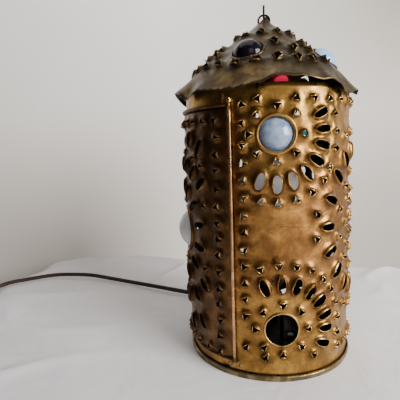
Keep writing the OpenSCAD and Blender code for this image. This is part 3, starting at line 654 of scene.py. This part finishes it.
# ---------------- rings, wires and small parts
def lathe(name, place, u, v, profile, steps=64):
    """A closed profile of (distance, height) turned about a point of a wall, following the wall."""
    bm = bmesh.new()
    rows = []
    for k in range(steps):
        a = 2 * pi * k / steps
        rows.append([bm.verts.new(Vector(place(*around(u, v, d, a), w)) * MM) for d, w in profile])
    n = len(profile)
    for k in range(steps):
        p, q = rows[k], rows[(k + 1) % steps]
        for i in range(n):
            bm.faces.new((p[i], q[i], q[(i + 1) % n], p[(i + 1) % n]))
    bmesh.ops.recalc_face_normals(bm, faces=bm.faces)
    return object_from(name, bm)


def object_from(name, bm):
    mesh = bpy.data.meshes.new(name)
    bm.to_mesh(mesh)
    bm.free()
    mesh.polygons.foreach_set("use_smooth", [True] * len(mesh.polygons))
    return add_object(name, mesh)


def bezel_profile(hole, width, height, low=-0.3):
    """A rounded rim: steep and rolled towards the glass, sloping away outside."""
    points = [(hole + 0.15, low)]
    for k in range(9):
        a = pi * (1 - k / 8)
        top = 0.35 + 0.65 * sin(a) ** 0.8 if 0 < k < 8 else 0.35
        points.append((hole + 0.15 + width / 2 * (1 + cos(a)), height * top))
    points.append((hole + 0.15 + width + 0.5, low))
    return points


def joined(name, objects):
    bm = bmesh.new()
    for ob in objects:
        bm.from_mesh(ob.data)
        bpy.data.objects.remove(ob)
    return object_from(name, bm)


body_rim, roof_rim = bezel_profile(JEWEL_HOLE, 2.5, 2.0), bezel_profile(JEWEL_HOLE, 1.5, 1.0)
door_rim = bezel_profile(DOOR_JEWEL_R + 0.25, 2.5, 2.2)
body_bezels = joined("bezels_body", [lathe("bezel", tube_place(BODY_R), u_of(a), z, body_rim)
                                     for a, z in jewels_on_body])
stand_in(body_bezels, "lantern", "body_brass", "body_bezels")
roof_bezels = joined("bezels_roof", [lathe("bezel", cone_place, *cone_flat(a, r), roof_rim)
                                     for a, r in roof_jewels])
stand_in(roof_bezels, "lantern", "roof_brass", "roof_bezels")
door_bezel = lathe("bezel_door", tube_place(DOOR_R), u_door_mid, DOOR_JEWEL_Z, door_rim, 80)
stand_in(door_bezel, "door", "door_brass", "door_bezel")


def sweep(name, path, outline, up=Vector((0, 0, 1))):
    """A closed outline of (across, up) points moved along a path of Vectors, with flat ends."""
    bm = bmesh.new()
    rows = []
    for i, p in enumerate(path):
        t = (path[min(i + 1, len(path) - 1)] - path[max(i - 1, 0)]).normalized()
        side = t.cross(up).normalized()
        over = side.cross(t)
        rows.append([bm.verts.new((p + side * x + over * y) * MM) for x, y in outline(i)])
    n = len(rows[0])
    for a, b in zip(rows, rows[1:]):
        for k in range(n):
            bm.faces.new((a[k], a[(k + 1) % n], b[(k + 1) % n], b[k]))
    bm.faces.new(rows[0][::-1])
    bm.faces.new(rows[-1])
    bmesh.ops.recalc_face_normals(bm, faces=bm.faces)
    return object_from(name, bm)


# the rolled edge of the door round its pin, slightly bowed and pinched as by hand
hinge_dir = Vector((sin(HINGE_AT * DEG), -cos(HINGE_AT * DEG), 0))
roll_low, roll_high = DOOR_LOW + 0.4, DOOR_HIGH - 1.9
roll_path = [hinge_dir * HINGE_R + Vector((0, 0, roll_low + (roll_high - roll_low) * k / 60))
             for k in range(61)]


def roll_outline(i):
    r = 1.3 + 0.08 * rough(roll_path[i].z, 0, 7, 2.0)
    return [around(0, 0, r, 2 * pi * k / 14) for k in range(14)]


roll = sweep("door_roll", roll_path, roll_outline, Vector((0, 1, 0)))
stand_in(roll, "door", "door_brass")


def solder(name, centre, size, count, spread):
    """A cluster of lumps of solder: one drop mesh per lump."""
    bm = bmesh.new()
    for i in range(count):
        shift = Vector([(rand(i, k + 1) - 0.5) * spread[k] for k in range(3)])
        r = size * (0.6 + 0.6 * rand(i, 4))
        drop = bmesh.ops.create_icosphere(bm, subdivisions=3, radius=1.0)
        for v in drop["verts"]:
            bump = 1 + 0.22 * noise.noise(v.co * 1.7 + Vector((i, 0, 0)))
            v.co = (Vector((v.co.x * r, v.co.y * r, v.co.z * r * 0.8)) * bump + centre + shift) * MM
    return object_from(name, bm)


hinge_foot = hinge_dir * (BODY_R + 0.6) + Vector((0, 0, 9.6))
hinge_head = hinge_dir * (BODY_R + 0.4) + Vector((0, 0, 217.4))
for name, centre, lumps in (("solder_low", hinge_foot, 9), ("solder_high", hinge_head, 4)):
    blob = solder(name, centre, 1.25, lumps, (9.0 if lumps > 4 else 3.0, 2.0, 4.5))
    stand_in(blob, "lantern", "dark_wire")


# ---------------- cord
def rounded_corner(p, q, r, radius):
    """Points along the arc that rounds the corner q between p and r."""
    a, b = (q - p).normalized(), (r - q).normalized()
    turn = a.angle(b)
    back = radius * tan(turn / 2)
    start, end = q - a * back, q + b * back
    sign = 1 if a.cross(b) > 0 else -1
    centre = start + Vector((-a.y, a.x)) * sign * radius
    count = max(3, int(turn / (4 * DEG)))
    spoke = start - centre
    arc = []
    for k in range(count + 1):
        t = sign * turn * k / count
        arc.append(centre + Vector((spoke.x * cos(t) - spoke.y * sin(t),
                                    spoke.x * sin(t) + spoke.y * cos(t))))
    arc[-1] = end
    return arc


CORE_R, CORE_GAP = 1.4, 1.3
RISER_BEND, DROP_BEND = 7.0, 12.0
exit_dir = Vector((sin(CORD_AT * DEG), -cos(CORD_AT * DEG)))
exit_r = BODY_R + 10
drop_a = acos(1 - (GROMMET_Z - CORE_R) / (2 * DROP_BEND))
table_r = exit_r + 2 * DROP_BEND * sin(drop_a)
socket_z = node_box("socket_cap")[0].z
bends = [exit_dir * table_r, exit_dir * (table_r + 11), Vector((-78, 112)), Vector((-236, 195)),
         Vector((-290, 200)), Vector((-348, 165)), Vector((-358, 118))]
bend_radii = (0, 15, 60, 90, 60, 34)


def cord_path():
    """From the socket down the centre, out of the back of the body, down to the table and along it."""
    flat = [(0.0, socket_z + 10 - k * 2.0) for k in range(int((socket_z - 8 - GROMMET_Z) / 2.0))]
    flat += [(RISER_BEND * (1 - cos(k * 9 * DEG)), GROMMET_Z + RISER_BEND * (1 - sin(k * 9 * DEG)))
             for k in range(11)]
    flat += [(RISER_BEND + (exit_r - RISER_BEND) * k / 16, GROMMET_Z) for k in range(1, 16)]
    bend = [(DROP_BEND * sin(drop_a * k / 8), DROP_BEND * (1 - cos(drop_a * k / 8))) for k in range(9)]
    flat += [(exit_r + out, GROMMET_Z - drop) for out, drop in bend]
    flat += [(table_r - out, CORE_R + drop) for out, drop in bend[7::-1]]
    path = [Vector((exit_dir.x * d, exit_dir.y * d, z)) for d, z in flat]
    table = [bends[0]]
    for i in range(1, len(bends) - 1):
        table += rounded_corner(bends[i - 1], bends[i], bends[i + 1], bend_radii[i])
    table.append(bends[-1])
    lying = [Vector((p.x, p.y, CORE_R)) for p in table[1:]]
    last = path[-1]
    for p in lying:
        n = max(1, int((p - last).length / 6))
        path += [last.lerp(p, (k + 1) / n) for k in range(n)]
        last = p
    return path


path = cord_path()
away = [hypot(p.x, p.y) for p in path]


def cord_twist(i):
    """How far the cord has turned onto its edge: flat as it comes out and at the plug."""
    left = (path[-1] - path[i]).length
    return 72 * DEG * ease((away[i] - table_r - 8) / 30) * ease((left - 12) / 40)


def zip_outline(i):
    """Two round cores side by side with a narrow web between them."""
    turn = cord_twist(i)
    c, s = cos(turn), sin(turn)
    points = []
    for side in (1, -1):
        for k in range(11):
            a = (-142 + k * 28.4) * side * DEG
            x, y = side * (CORE_GAP + CORE_R * cos(a)), CORE_R * sin(a)
            points.append((c * x - s * y, s * x + c * y + CORE_GAP * s))
    return points


cord = sweep("cord_zip", path, zip_outline)
stand_in(cord, "lantern", "cord_brown", "cord")


# ---------------- materials
def fill_ramp(ramp, stops):
    """Sets a colour ramp's stops, each of a place and a colour."""
    while len(ramp.elements) < len(stops):
        ramp.elements.new(0.5)
    for e, (place, colour) in zip(ramp.elements, stops):
        e.position = place
        e.color = (*colour, 1)


class Paint:
    """A node material being put together."""

    def __init__(self, name):
        self.mat = bpy.data.materials.new(name)
        self.mat.use_nodes = True
        self.tree = self.mat.node_tree
        self.tree.nodes.clear()
        self.out = self.tree.nodes.new("ShaderNodeOutputMaterial")
        self.main = self.tree.nodes.new("ShaderNodeBsdfPrincipled")
        self.tree.links.new(self.main.outputs[0], self.out.inputs[0])
        self.where = self.tree.nodes.new("ShaderNodeTexCoord").outputs["Object"]

    def node(self, kind, **inputs):
        n = self.tree.nodes.new("ShaderNode" + kind)
        for key, value in inputs.items():
            self.put(n, key.replace("_", " "), value)
        return n

    def put(self, n, key, value):
        socket = n.inputs[int(key[1:])] if key[0] == "i" and key[1:].isdigit() else n.inputs[key]
        if isinstance(value, bpy.types.NodeSocket):
            self.tree.links.new(value, socket)
        elif isinstance(value, tuple) and len(socket.default_value) == 4:
            socket.default_value = (*value[:3], 1)
        else:
            socket.default_value = value

    def stretched(self, x, y, z):
        m = self.node("Mapping", Vector=self.where)
        m.inputs["Scale"].default_value = (x, y, z)
        return m.outputs[0]

    def parts(self):
        """The x, y and z of the place, in metres."""
        return list(self.node("SeparateXYZ", i0=self.where).outputs)

    def noise(self, scale, detail=4.0, roughness=0.55, at=None, distortion=0.0):
        n = self.node("TexNoise", Scale=scale, Detail=detail, Roughness=roughness, Distortion=distortion)
        self.tree.links.new(at or self.where, n.inputs["Vector"])
        return n.outputs[0]

    def ramp(self, value, stops):
        r = self.node("ValToRGB", Fac=value)
        fill_ramp(r.color_ramp, stops)
        return r.outputs[0]

    def fit(self, value, low, high, to_low=0.0, to_high=1.0):
        m = self.node("MapRange", Value=value, From_Min=low, From_Max=high, To_Min=to_low, To_Max=to_high)
        return m.outputs[0]

    def op(self, how, a, b):
        m = self.node("Math", i0=a, i1=b)
        m.operation = how
        return m.outputs[0]

    def add(self, a, b):
        return self.op("ADD", a, b)

    def times(self, a, b):
        return self.op("MULTIPLY", a, b)

    def mix(self, share, a, b, how="MIX"):
        m = self.node("Mix")
        m.data_type = "RGBA"
        m.blend_type = how
        for i, v in ((0, share), (6, a), (7, b)):
            self.put(m, f"i{i}", v)
        return m.outputs[2]

    def mark(self, name):
        a = self.node("Attribute")
        a.attribute_name = name
        return a.outputs["Fac"]

    def bump(self, height, strength, distance):
        n = self.node("Bump", Height=height, Strength=strength, Distance=distance)
        before = self.main.inputs["Normal"].links
        if before:
            self.put(n, "Normal", before[0].from_socket)
        self.put(self.main, "Normal", n.outputs[0])

    def set(self, **inputs):
        for key, value in inputs.items():
            self.put(self.main, key.replace("_", " "), value)
        return self.mat


def aged_brass(name, dark, mid, light, bright, rough, grime, streaks=0.0, gold=None, grimed_and_shaded=False,
               dark_inside=0.0, shaded_right_and_scratch=False):
    """Old brass: patches of brown patina, fine speckle, scratches, brighter worn edges, dirt and painted
    shade round the punctures and in their mouths, and where asked a yellower gold near the top (there a
    painted highlight) and the foot, a browner right side painted as shade, with one long scratch, and
    a floor painted near-black as shade within a radius."""
    p = Paint(name)
    x, y, z = p.parts()
    broad = p.noise(26, 3, 0.5)
    patch = p.noise(95, 6, 0.62, distortion=0.4)
    speck = p.noise(900, 3, 0.6)
    drag = p.noise(60, 4, 0.6, at=p.stretched(1.0, 1.0, 14.0))
    tone = p.add(p.add(broad, p.times(patch, 0.55)), p.times(speck, 0.16))
    tone = p.add(tone, p.times(drag, streaks))
    centre = 0.5 + 0.275 + 0.08 + 0.5 * streaks
    tone = p.fit(tone, centre - 0.42, centre + 0.42)
    colour = p.ramp(tone, ((0.0, dark), (0.45, mid), (1.0, light)))
    # painted highlight: the brass is screened yellower near the top, where the window's reflection lies; near
    # the foot a yellower tone
    if gold:
        far = p.op("ABSOLUTE", p.add(z, -0.115), 0.0)
        far = p.add(p.times(far, 8.5), p.times(broad, 0.9))
        colour = p.mix(p.fit(far, 0.7, 1.45, 0.0, 0.85), colour, p.mix(0.6, colour, gold, "SCREEN"))
    right_side_shade = 0.0
    # painted shade: the right side is painted darker and browner where the window's reflection ends; the dark
    # line below is a scratch
    if shaded_right_and_scratch:
        turn = p.add(p.op("ARCTAN2", x, p.times(y, -1.0)), p.times(patch, 0.09))
        right_side_shade = p.fit(turn, 46.5 * DEG + 0.045, 49 * DEG + 0.045, 0.0, 0.6)
        colour = p.mix(right_side_shade, colour, tuple(0.8 * c for c in mid))
        off = p.add(p.add(z, p.times(x, 0.08)), -0.1228)
        line = p.op("LESS_THAN", p.op("ABSOLUTE", off, 0.0), 0.00035)
        span = p.op("ABSOLUTE", p.add(x, -0.013), 0.0)
        line = p.times(line, p.op("LESS_THAN", span, 0.0125))
        colour = p.mix(p.times(line, 0.55), colour, dark)
    wear = p.mark("wear")
    grimy = p.fit(patch, 0.42, 0.62, grime, 0.0)
    colour = p.mix(grimy, colour, tuple(0.45 * c for c in dark))
    edge = p.times(wear, p.fit(patch, 0.35, 0.6, 0.2, 1.0))
    edge = p.fit(edge, 0.25, 0.95, 0.0, 0.85)
    colour = p.mix(edge, colour, bright)
    # dirt and painted shade: darker round the punctures and in the mouths of the holes
    if grimed_and_shaded:
        dirt_and_shade = p.times(p.mark("grime_and_shade"), p.fit(patch, 0.3, 0.65, 0.9, 0.5))
        colour = p.mix(dirt_and_shade, colour, tuple(0.4 * c for c in dark))
    # painted shade: inside the radius the pan's floor is painted near-black
    if dark_inside:
        radius = p.op("POWER", p.add(p.times(x, x), p.times(y, y)), 0.5)
        within = p.times(p.op("LESS_THAN", radius, dark_inside), p.op("GREATER_THAN", z, 0.0002))
        colour = p.mix(within, colour, (0.003, 0.002, 0.0015))
    shine = p.fit(patch, 0.3, 0.7, rough + 0.1, rough - 0.08)
    if shaded_right_and_scratch:
        shine = p.add(shine, p.times(right_side_shade, 0.14))
    shine = p.add(shine, p.times(edge, -0.12))
    p.set(Base_Color=colour, Metallic=p.fit(grimy, 0.0, 1.0, 1.0, 0.75), Roughness=shine)
    p.bump(speck, 0.25, 0.00012)
    p.bump(patch, 0.35, 0.0006)
    p.bump(p.noise(420, 2, 0.5, at=p.stretched(1.0, 1.0, 0.06)), 0.12, 0.00008)
    return p.mat


def plain(name, low, high, rough, metal=0.0, scale=300, depth=0.00006, **more):
    """A surface of two near tones with a fine grain."""
    p = Paint(name)
    grain = p.noise(scale, 5, 0.6)
    p.bump(grain, 0.4, depth)
    return p.set(Base_Color=p.ramp(grain, ((0.3, low), (0.7, high))), Metallic=metal,
                 Roughness=p.fit(grain, 0.3, 0.7, rough + 0.06, rough - 0.06), **more)


def glass(name, low, high, clear, rough=0.05, cloud=60, under=0.0, coat=0.35, specular=0.5):
    """A cast-glass jewel: cloudy inside, with tiny pits in a polished surface."""
    p = Paint(name)
    haze = p.noise(cloud, 5, 0.6, distortion=0.8)
    pits = p.noise(1400, 2, 0.5)
    p.bump(p.ramp(pits, ((0.2, (0.0,) * 3), (0.34, (1.0,) * 3))), 0.25, 0.00005)
    p.bump(p.noise(140, 1, 0.4), 0.2, 0.00025)
    p.set(Base_Color=p.ramp(haze, ((0.32, low), (0.68, high))), Transmission_Weight=clear, IOR=1.52,
          Roughness=p.fit(haze, 0.3, 0.7, rough + 0.03, rough), Coat_Weight=coat, Coat_Roughness=0.04,
          Specular_IOR_Level=specular)
    if under:
        p.set(Subsurface_Weight=under, Subsurface_Radius=(0.004, 0.004, 0.005))
    return p.mat


PAINT = {
    "body_brass": aged_brass(
        "brass_body", (0.11, 0.045, 0.012), (0.35, 0.165, 0.046), (0.63, 0.35, 0.095), (0.95, 0.64, 0.22),
        0.31, 0.45, 0.3, (0.2, 0.14, 0.01), grimed_and_shaded=True, shaded_right_and_scratch=True),
    # painted shade: the door's brass is a darker copy of the body's, standing in for the dark room it
    # reflects
    "door_brass": aged_brass(
        "brass_door_shaded", (0.045, 0.021, 0.007), (0.135, 0.066, 0.023), (0.23, 0.12, 0.045), (0.4, 0.24, 0.11),
        0.38, 0.5, 0.2, grimed_and_shaded=True),
    "roof_brass": aged_brass(
        "brass_roof", (0.026, 0.016, 0.007), (0.095, 0.062, 0.026), (0.21, 0.142, 0.062),
        (0.36, 0.26, 0.13), 0.36, 0.5, grimed_and_shaded=True),
    "dark_wire": aged_brass(
        "iron_wire", (0.012, 0.01, 0.008), (0.035, 0.028, 0.022), (0.08, 0.065, 0.05), (0.13, 0.105, 0.08),
        0.45, 0.4),
    "socket_bronze": aged_brass(
        "bronze_socket", (0.05, 0.03, 0.015), (0.14, 0.085, 0.04), (0.24, 0.15, 0.07), (0.4, 0.27, 0.13),
        0.4, 0.4),
    "opal_glass": glass("glass_opal", (0.13, 0.2, 0.34), (0.3, 0.36, 0.44), 0.1, 0.1, 150, 0.5),
    "white_opal_glass": glass("glass_white_opal", (0.5, 0.52, 0.52), (0.72, 0.74, 0.73), 0.12, 0.12, 60, 0.5),
    "amethyst_glass": glass("glass_amethyst", (0.002, 0.0015, 0.003), (0.006, 0.004, 0.009), 0.0,
                            coat=0.0, specular=0.3),
    "blue_glass": glass("glass_blue", (0.16, 0.38, 0.75), (0.38, 0.64, 0.92), 0.2, 0.1, 90, 0.4),
    "red_glass": glass("glass_red", (0.55, 0.01, 0.05), (0.9, 0.03, 0.13), 0.85),
    "smoke_glass": glass("glass_smoke", (0.02, 0.018, 0.016), (0.06, 0.05, 0.045), 0.7),
    "teal_glass": glass("glass_teal", (0.0, 0.2, 0.24), (0.02, 0.4, 0.42), 0.8),
    "amber_glass": glass("glass_amber", (0.6, 0.2, 0.02), (0.85, 0.42, 0.06), 0.8),
    "green_glass": glass("glass_green", (0.02, 0.25, 0.09), (0.06, 0.5, 0.2), 0.8),
    "clear_glass": glass("glass_clear", (0.9, 0.9, 0.9), (0.95, 0.95, 0.95), 0.9),
    "bulb_frost": plain("bulb_frosted", (0.62, 0.62, 0.6), (0.74, 0.74, 0.72), 0.35, 0.0, 200, 0.00002),
    "lamp_steel": plain("steel", (0.35, 0.35, 0.36), (0.55, 0.55, 0.56), 0.32, 1.0),
    "bulb_aluminium": plain("aluminium", (0.55, 0.56, 0.58), (0.75, 0.76, 0.78), 0.3, 1.0),
    "liner_fibre": plain("fibre", (0.3, 0.22, 0.13), (0.5, 0.38, 0.24), 0.8),
    "black_plastic": plain("black_plastic", (0.012, 0.012, 0.013), (0.03, 0.03, 0.032), 0.4),
    "contact_brass": plain("contact_brass", (0.5, 0.33, 0.13), (0.75, 0.53, 0.25), 0.3, 1.0),
    "filament_wire": plain("tungsten", (0.25, 0.25, 0.26), (0.45, 0.45, 0.46), 0.4, 1.0),
    "black_rubber": plain("rubber", (0.008, 0.008, 0.008), (0.025, 0.024, 0.023), 0.65),
    "cord_brown": plain("cord_vinyl", (0.014, 0.006, 0.004), (0.032, 0.014, 0.008), 0.36, 0.0, 220, 0.00005)}
# dark_inside paints the pan's floor inside the body near-black, as painted shade
pan_mat = aged_brass("brass_pan", (0.07, 0.05, 0.022), (0.2, 0.15, 0.07), (0.36, 0.28, 0.14),
                     (0.75, 0.6, 0.32), 0.34, 0.5, 0.2, dark_inside=0.0705)
# painted shade: a near-black copy of the brass for the inner faces of the sheets and the parts inside
shaded_inside_mat = aged_brass("brass_inside_shaded", (0.008, 0.005, 0.003), (0.02, 0.012, 0.007), (0.04, 0.024, 0.013),
                        (0.08, 0.05, 0.025), 0.6, 0.6)
# painted highlight: the door's roll is a much lighter copy of the door's brass
roll_mat = aged_brass("brass_roll", (0.2, 0.1, 0.045), (0.5, 0.28, 0.13), (0.75, 0.48, 0.25),
                      (0.9, 0.65, 0.38), 0.3, 0.3)
solder_mat = plain("solder", (0.1, 0.085, 0.06), (0.3, 0.26, 0.2), 0.45, 0.9, 500, 0.0002)


def dress(ob, *mats):
    """Gives a piece its materials, and one even wear where it has no worn edges of its own."""
    mesh = ob.data
    mesh.materials.clear()
    for m in mats:
        mesh.materials.append(m)
    if mesh.attributes.get("wear") is None:
        wear = mesh.attributes.new("wear", "FLOAT", "POINT")
        wear.data.foreach_set("value", [0.35] * len(mesh.vertices))


slot_of = {s["node"]: s["material_slot"] for s in frame["record"]["subparts"]}
for name, node in frame["nodes"].items():
    dress(node, PAINT[slot_of[name]])
for piece, paint in ((body, "body_brass"), (door, "door_brass"), (roof, "roof_brass")):
    dress(piece, PAINT[paint], shaded_inside_mat)
    piece.modifiers["sheet"].material_offset = 1
for piece, paint in ((body_bezels, "body_brass"), (roof_bezels, "roof_brass"), (door_bezel, "door_brass"),
                     (cord, "cord_brown")):
    dress(piece, PAINT[paint])
dress(roll, roll_mat)
for name in ("solder_low", "solder_high"):
    dress(bpy.data.objects[name], solder_mat)
for name, paint in (("base_pan", pan_mat), ("socket_strap", shaded_inside_mat), ("roof_tabs", shaded_inside_mat)):
    dress(frame["nodes"][name], paint)

# ---------------- stage, light and camera
cord_steps = [a.lerp(b, k / 8) * MM for a, b in zip(path, path[1:]) for k in range(8)]
cord_line = kdtree.KDTree(len(cord_steps))
for k, p in enumerate(cord_steps):
    cord_line.insert((p.x, p.y, 0), k)
cord_line.balance()


def past_edge(x, y):
    """How far a point is beyond the back and left edges of the table, or below 0 on it."""
    back = y - (0.2685 - 0.225 * x - 0.27 * x * x + 0.0015 * sin(x * 23))
    left = -0.322 - 0.5 * max(0.0, 0.287 - y) ** 1.3 - x
    corner = 0.75 * (y - 0.307) - 0.66 * (x + 0.294)
    return max(back, left, corner)


def cloth_height(x, y):
    fold = 0.004 * noise.noise(Vector((x * 5 + 0.6 * y, y * 8, 3)))
    fold += 0.0017 * noise.noise(Vector((x * 14 - 5 * y, y * 20, 8)))
    crease = 1 - abs(noise.noise(Vector((x * 4 + 2.5 * y, y * 9 - 2 * x, 11))))
    fold += 0.0065 * crease ** 12 * (1 + noise.noise(Vector((x * 6, y * 6, 21))))
    beside = cord_line.find((x, y, 0))[2]
    fold = min(fold, 0.0) + max(fold, 0.0) * ease((beside - 0.004) / 0.025)
    near = min(1.0, max(0.0, (hypot(x, y) - 0.075) / 0.08))
    lie = min(1.0, max(0.0, (hypot(x, y) - 0.09) / 0.25))
    d = past_edge(x, y)
    fall = 0.0 if d < -0.015 else (d + 0.015) ** 2 * 18 if d < 0.015 else 0.0162 + (d - 0.015) * 4.0
    return fold * near * lie - 0.0012 * near - 0.0004 - fall


def cloth():
    bm = bmesh.new()
    cols, rows = 380, 220
    grid = []
    for j in range(rows + 1):
        y = -0.9 + 1.25 * (1 - (1 - j / rows) ** 1.4)
        line = []
        for i in range(cols + 1):
            t = 2 * i / cols - 1
            x = 1.2 * (0.45 * t + 0.55 * t ** 3)
            line.append(bm.verts.new((x, y, cloth_height(x, y))))
        grid.append(line)
    for a, b in zip(grid, grid[1:]):
        for k in range(cols):
            bm.faces.new((a[k], a[k + 1], b[k + 1], b[k]))
    return object_from("cloth", bm)


def plaster():
    """White plaster that falls off in brightness as the room does: brightest at the upper left.
    Its back is clear, so that a view from behind still shows the lantern."""
    p = Paint("white_plaster")
    x, z = p.parts()[:2]
    height = p.fit(z, -0.55, -0.11)
    left = p.ramp(height, ((0.12, (0.8, 0.75, 0.7)), (0.45, (0.88, 0.85, 0.815)),
                           (0.9, (0.93, 0.915, 0.885))))
    right = p.ramp(height, ((0.12, (0.46, 0.435, 0.405)), (0.45, (0.57, 0.54, 0.5)),
                            (0.9, (0.33, 0.312, 0.27))))
    grain = p.noise(12, 5, 0.6)
    colour = p.mix(p.fit(x, -0.12, 0.27), left, right)
    p.bump(grain, 0.4, 0.0002)
    p.set(Base_Color=p.mix(p.fit(grain, 0.3, 0.7, 0.0, 0.03), colour, (0.3, 0.28, 0.26)), Roughness=0.9)
    seen, clear, pick = p.node("NewGeometry"), p.node("BsdfTransparent"), p.node("MixShader")
    links = p.tree.links
    links.new(seen.outputs["Backfacing"], pick.inputs[0])
    links.new(p.main.outputs[0], pick.inputs[1])
    links.new(clear.outputs[0], pick.inputs[2])
    links.new(pick.outputs[0], p.out.inputs[0])
    return p.mat


def cotton():
    """White cotton, with painted shade: a little greyer towards the left of the table, away from the light.
    """
    p = Paint("white_cotton")
    weave = p.noise(90, 5, 0.6)
    cloudy = p.noise(14, 3, 0.5)
    across = p.add(p.fit(p.parts()[0], -0.3, 0.12), p.fit(cloudy, 0.3, 0.7, -0.12, 0.12))
    p.bump(weave, 0.4, 0.0004)
    p.bump(p.noise(20, 4, 0.55, distortion=0.8), 0.45, 0.004)
    share = p.fit(across, 0.0, 1.0)
    return p.set(Base_Color=p.mix(share, (0.53, 0.52, 0.545), (0.72, 0.71, 0.725)), Roughness=0.9)


table = cloth()
dress(table, cotton())
bpy.ops.mesh.primitive_plane_add(size=6, location=(0, 0.36, 0.6), rotation=(pi / 2, 0, 0))
wall = bpy.context.object
wall.name = "wall"
dress(wall, plaster())

world = bpy.data.worlds.new("room")
bpy.context.scene.world = world
world.use_nodes = True
nodes, links = world.node_tree.nodes, world.node_tree.links
coords = nodes.new("ShaderNodeTexCoord")
split = nodes.new("ShaderNodeSeparateXYZ")
ramp = nodes.new("ShaderNodeValToRGB")
links.new(coords.outputs["Generated"], split.inputs[0])
span = nodes.new("ShaderNodeMapRange")
span.inputs["From Min"].default_value = -1
links.new(split.outputs["X"], span.inputs["Value"])
links.new(span.outputs[0], ramp.inputs["Fac"])
fill_ramp(ramp.color_ramp, ((0.0, (0.03, 0.022, 0.016)), (0.5, (0.07, 0.055, 0.042)),
                            (0.75, (0.22, 0.2, 0.18)), (1.0, (0.36, 0.34, 0.31))))
backdrop = nodes.new("ShaderNodeMix")
backdrop.data_type = "RGBA"
links.new(nodes.new("ShaderNodeLightPath").outputs["Is Camera Ray"], backdrop.inputs["Factor"])
links.new(ramp.outputs[0], backdrop.inputs["A"])
backdrop.inputs["B"].default_value = (0.5, 0.49, 0.47, 1)
links.new(backdrop.outputs["Result"], nodes["Background"].inputs[0])


def area_light(name, place, target, size, power, colour, diffuse=True, glossy=True):
    data = bpy.data.lights.new(name, "AREA")
    data.shape = "RECTANGLE"
    data.size, data.size_y = size
    data.energy = power
    data.color = colour
    ob = add_object(name, data)
    ob.location = place
    ob.rotation_euler = (Vector(target) - Vector(place)).to_track_quat("-Z", "Y").to_euler()
    ob.visible_camera = False
    ob.visible_diffuse = diffuse
    ob.visible_glossy = glossy


area_light("window", (1.02, -0.52, 0.5), (0, 0, 0.14), (0.7, 0.8), 30, (1.0, 0.98, 0.94), diffuse=False)
area_light("daylight", (0.9, -0.9, 0.62), (0, 0, 0.1), (0.75, 0.7), 47, (1.0, 0.98, 0.95), glossy=False)
area_light("front", (0.3, -1.3, 0.8), (0, 0, 0.1), (0.7, 0.7), 2.0, (1.0, 0.97, 0.93))
area_light("ceiling", (-0.3, 0.0, 1.5), (-0.2, 0.36, 0.3), (1.6, 1.0), 6.0, (1.0, 0.97, 0.93))

camera_data = bpy.data.cameras.new("camera")
camera_data.lens = 34.59
camera_data.sensor_width = 36
camera_data.clip_start = 0.01
camera = add_object("camera", camera_data)
bpy.context.scene.camera = camera
TURN, YAW, PITCH, ROLL = 7.5 * DEG, 9.83 * DEG, 7.43 * DEG, -1.99 * DEG
forward = Vector((-sin(YAW) * cos(PITCH), cos(YAW) * cos(PITCH), -sin(PITCH)))
right = Vector((cos(YAW), sin(YAW), 0))
over = right.cross(forward)
across = cos(ROLL) * right + sin(ROLL) * over
above = -sin(ROLL) * right + cos(ROLL) * over
spin = Matrix.Rotation(-TURN, 3, "Z")
basis = Matrix((spin @ across, spin @ above, -(spin @ forward))).transposed().to_4x4()
camera.matrix_world = Matrix.Translation(EYE * MM) @ basis
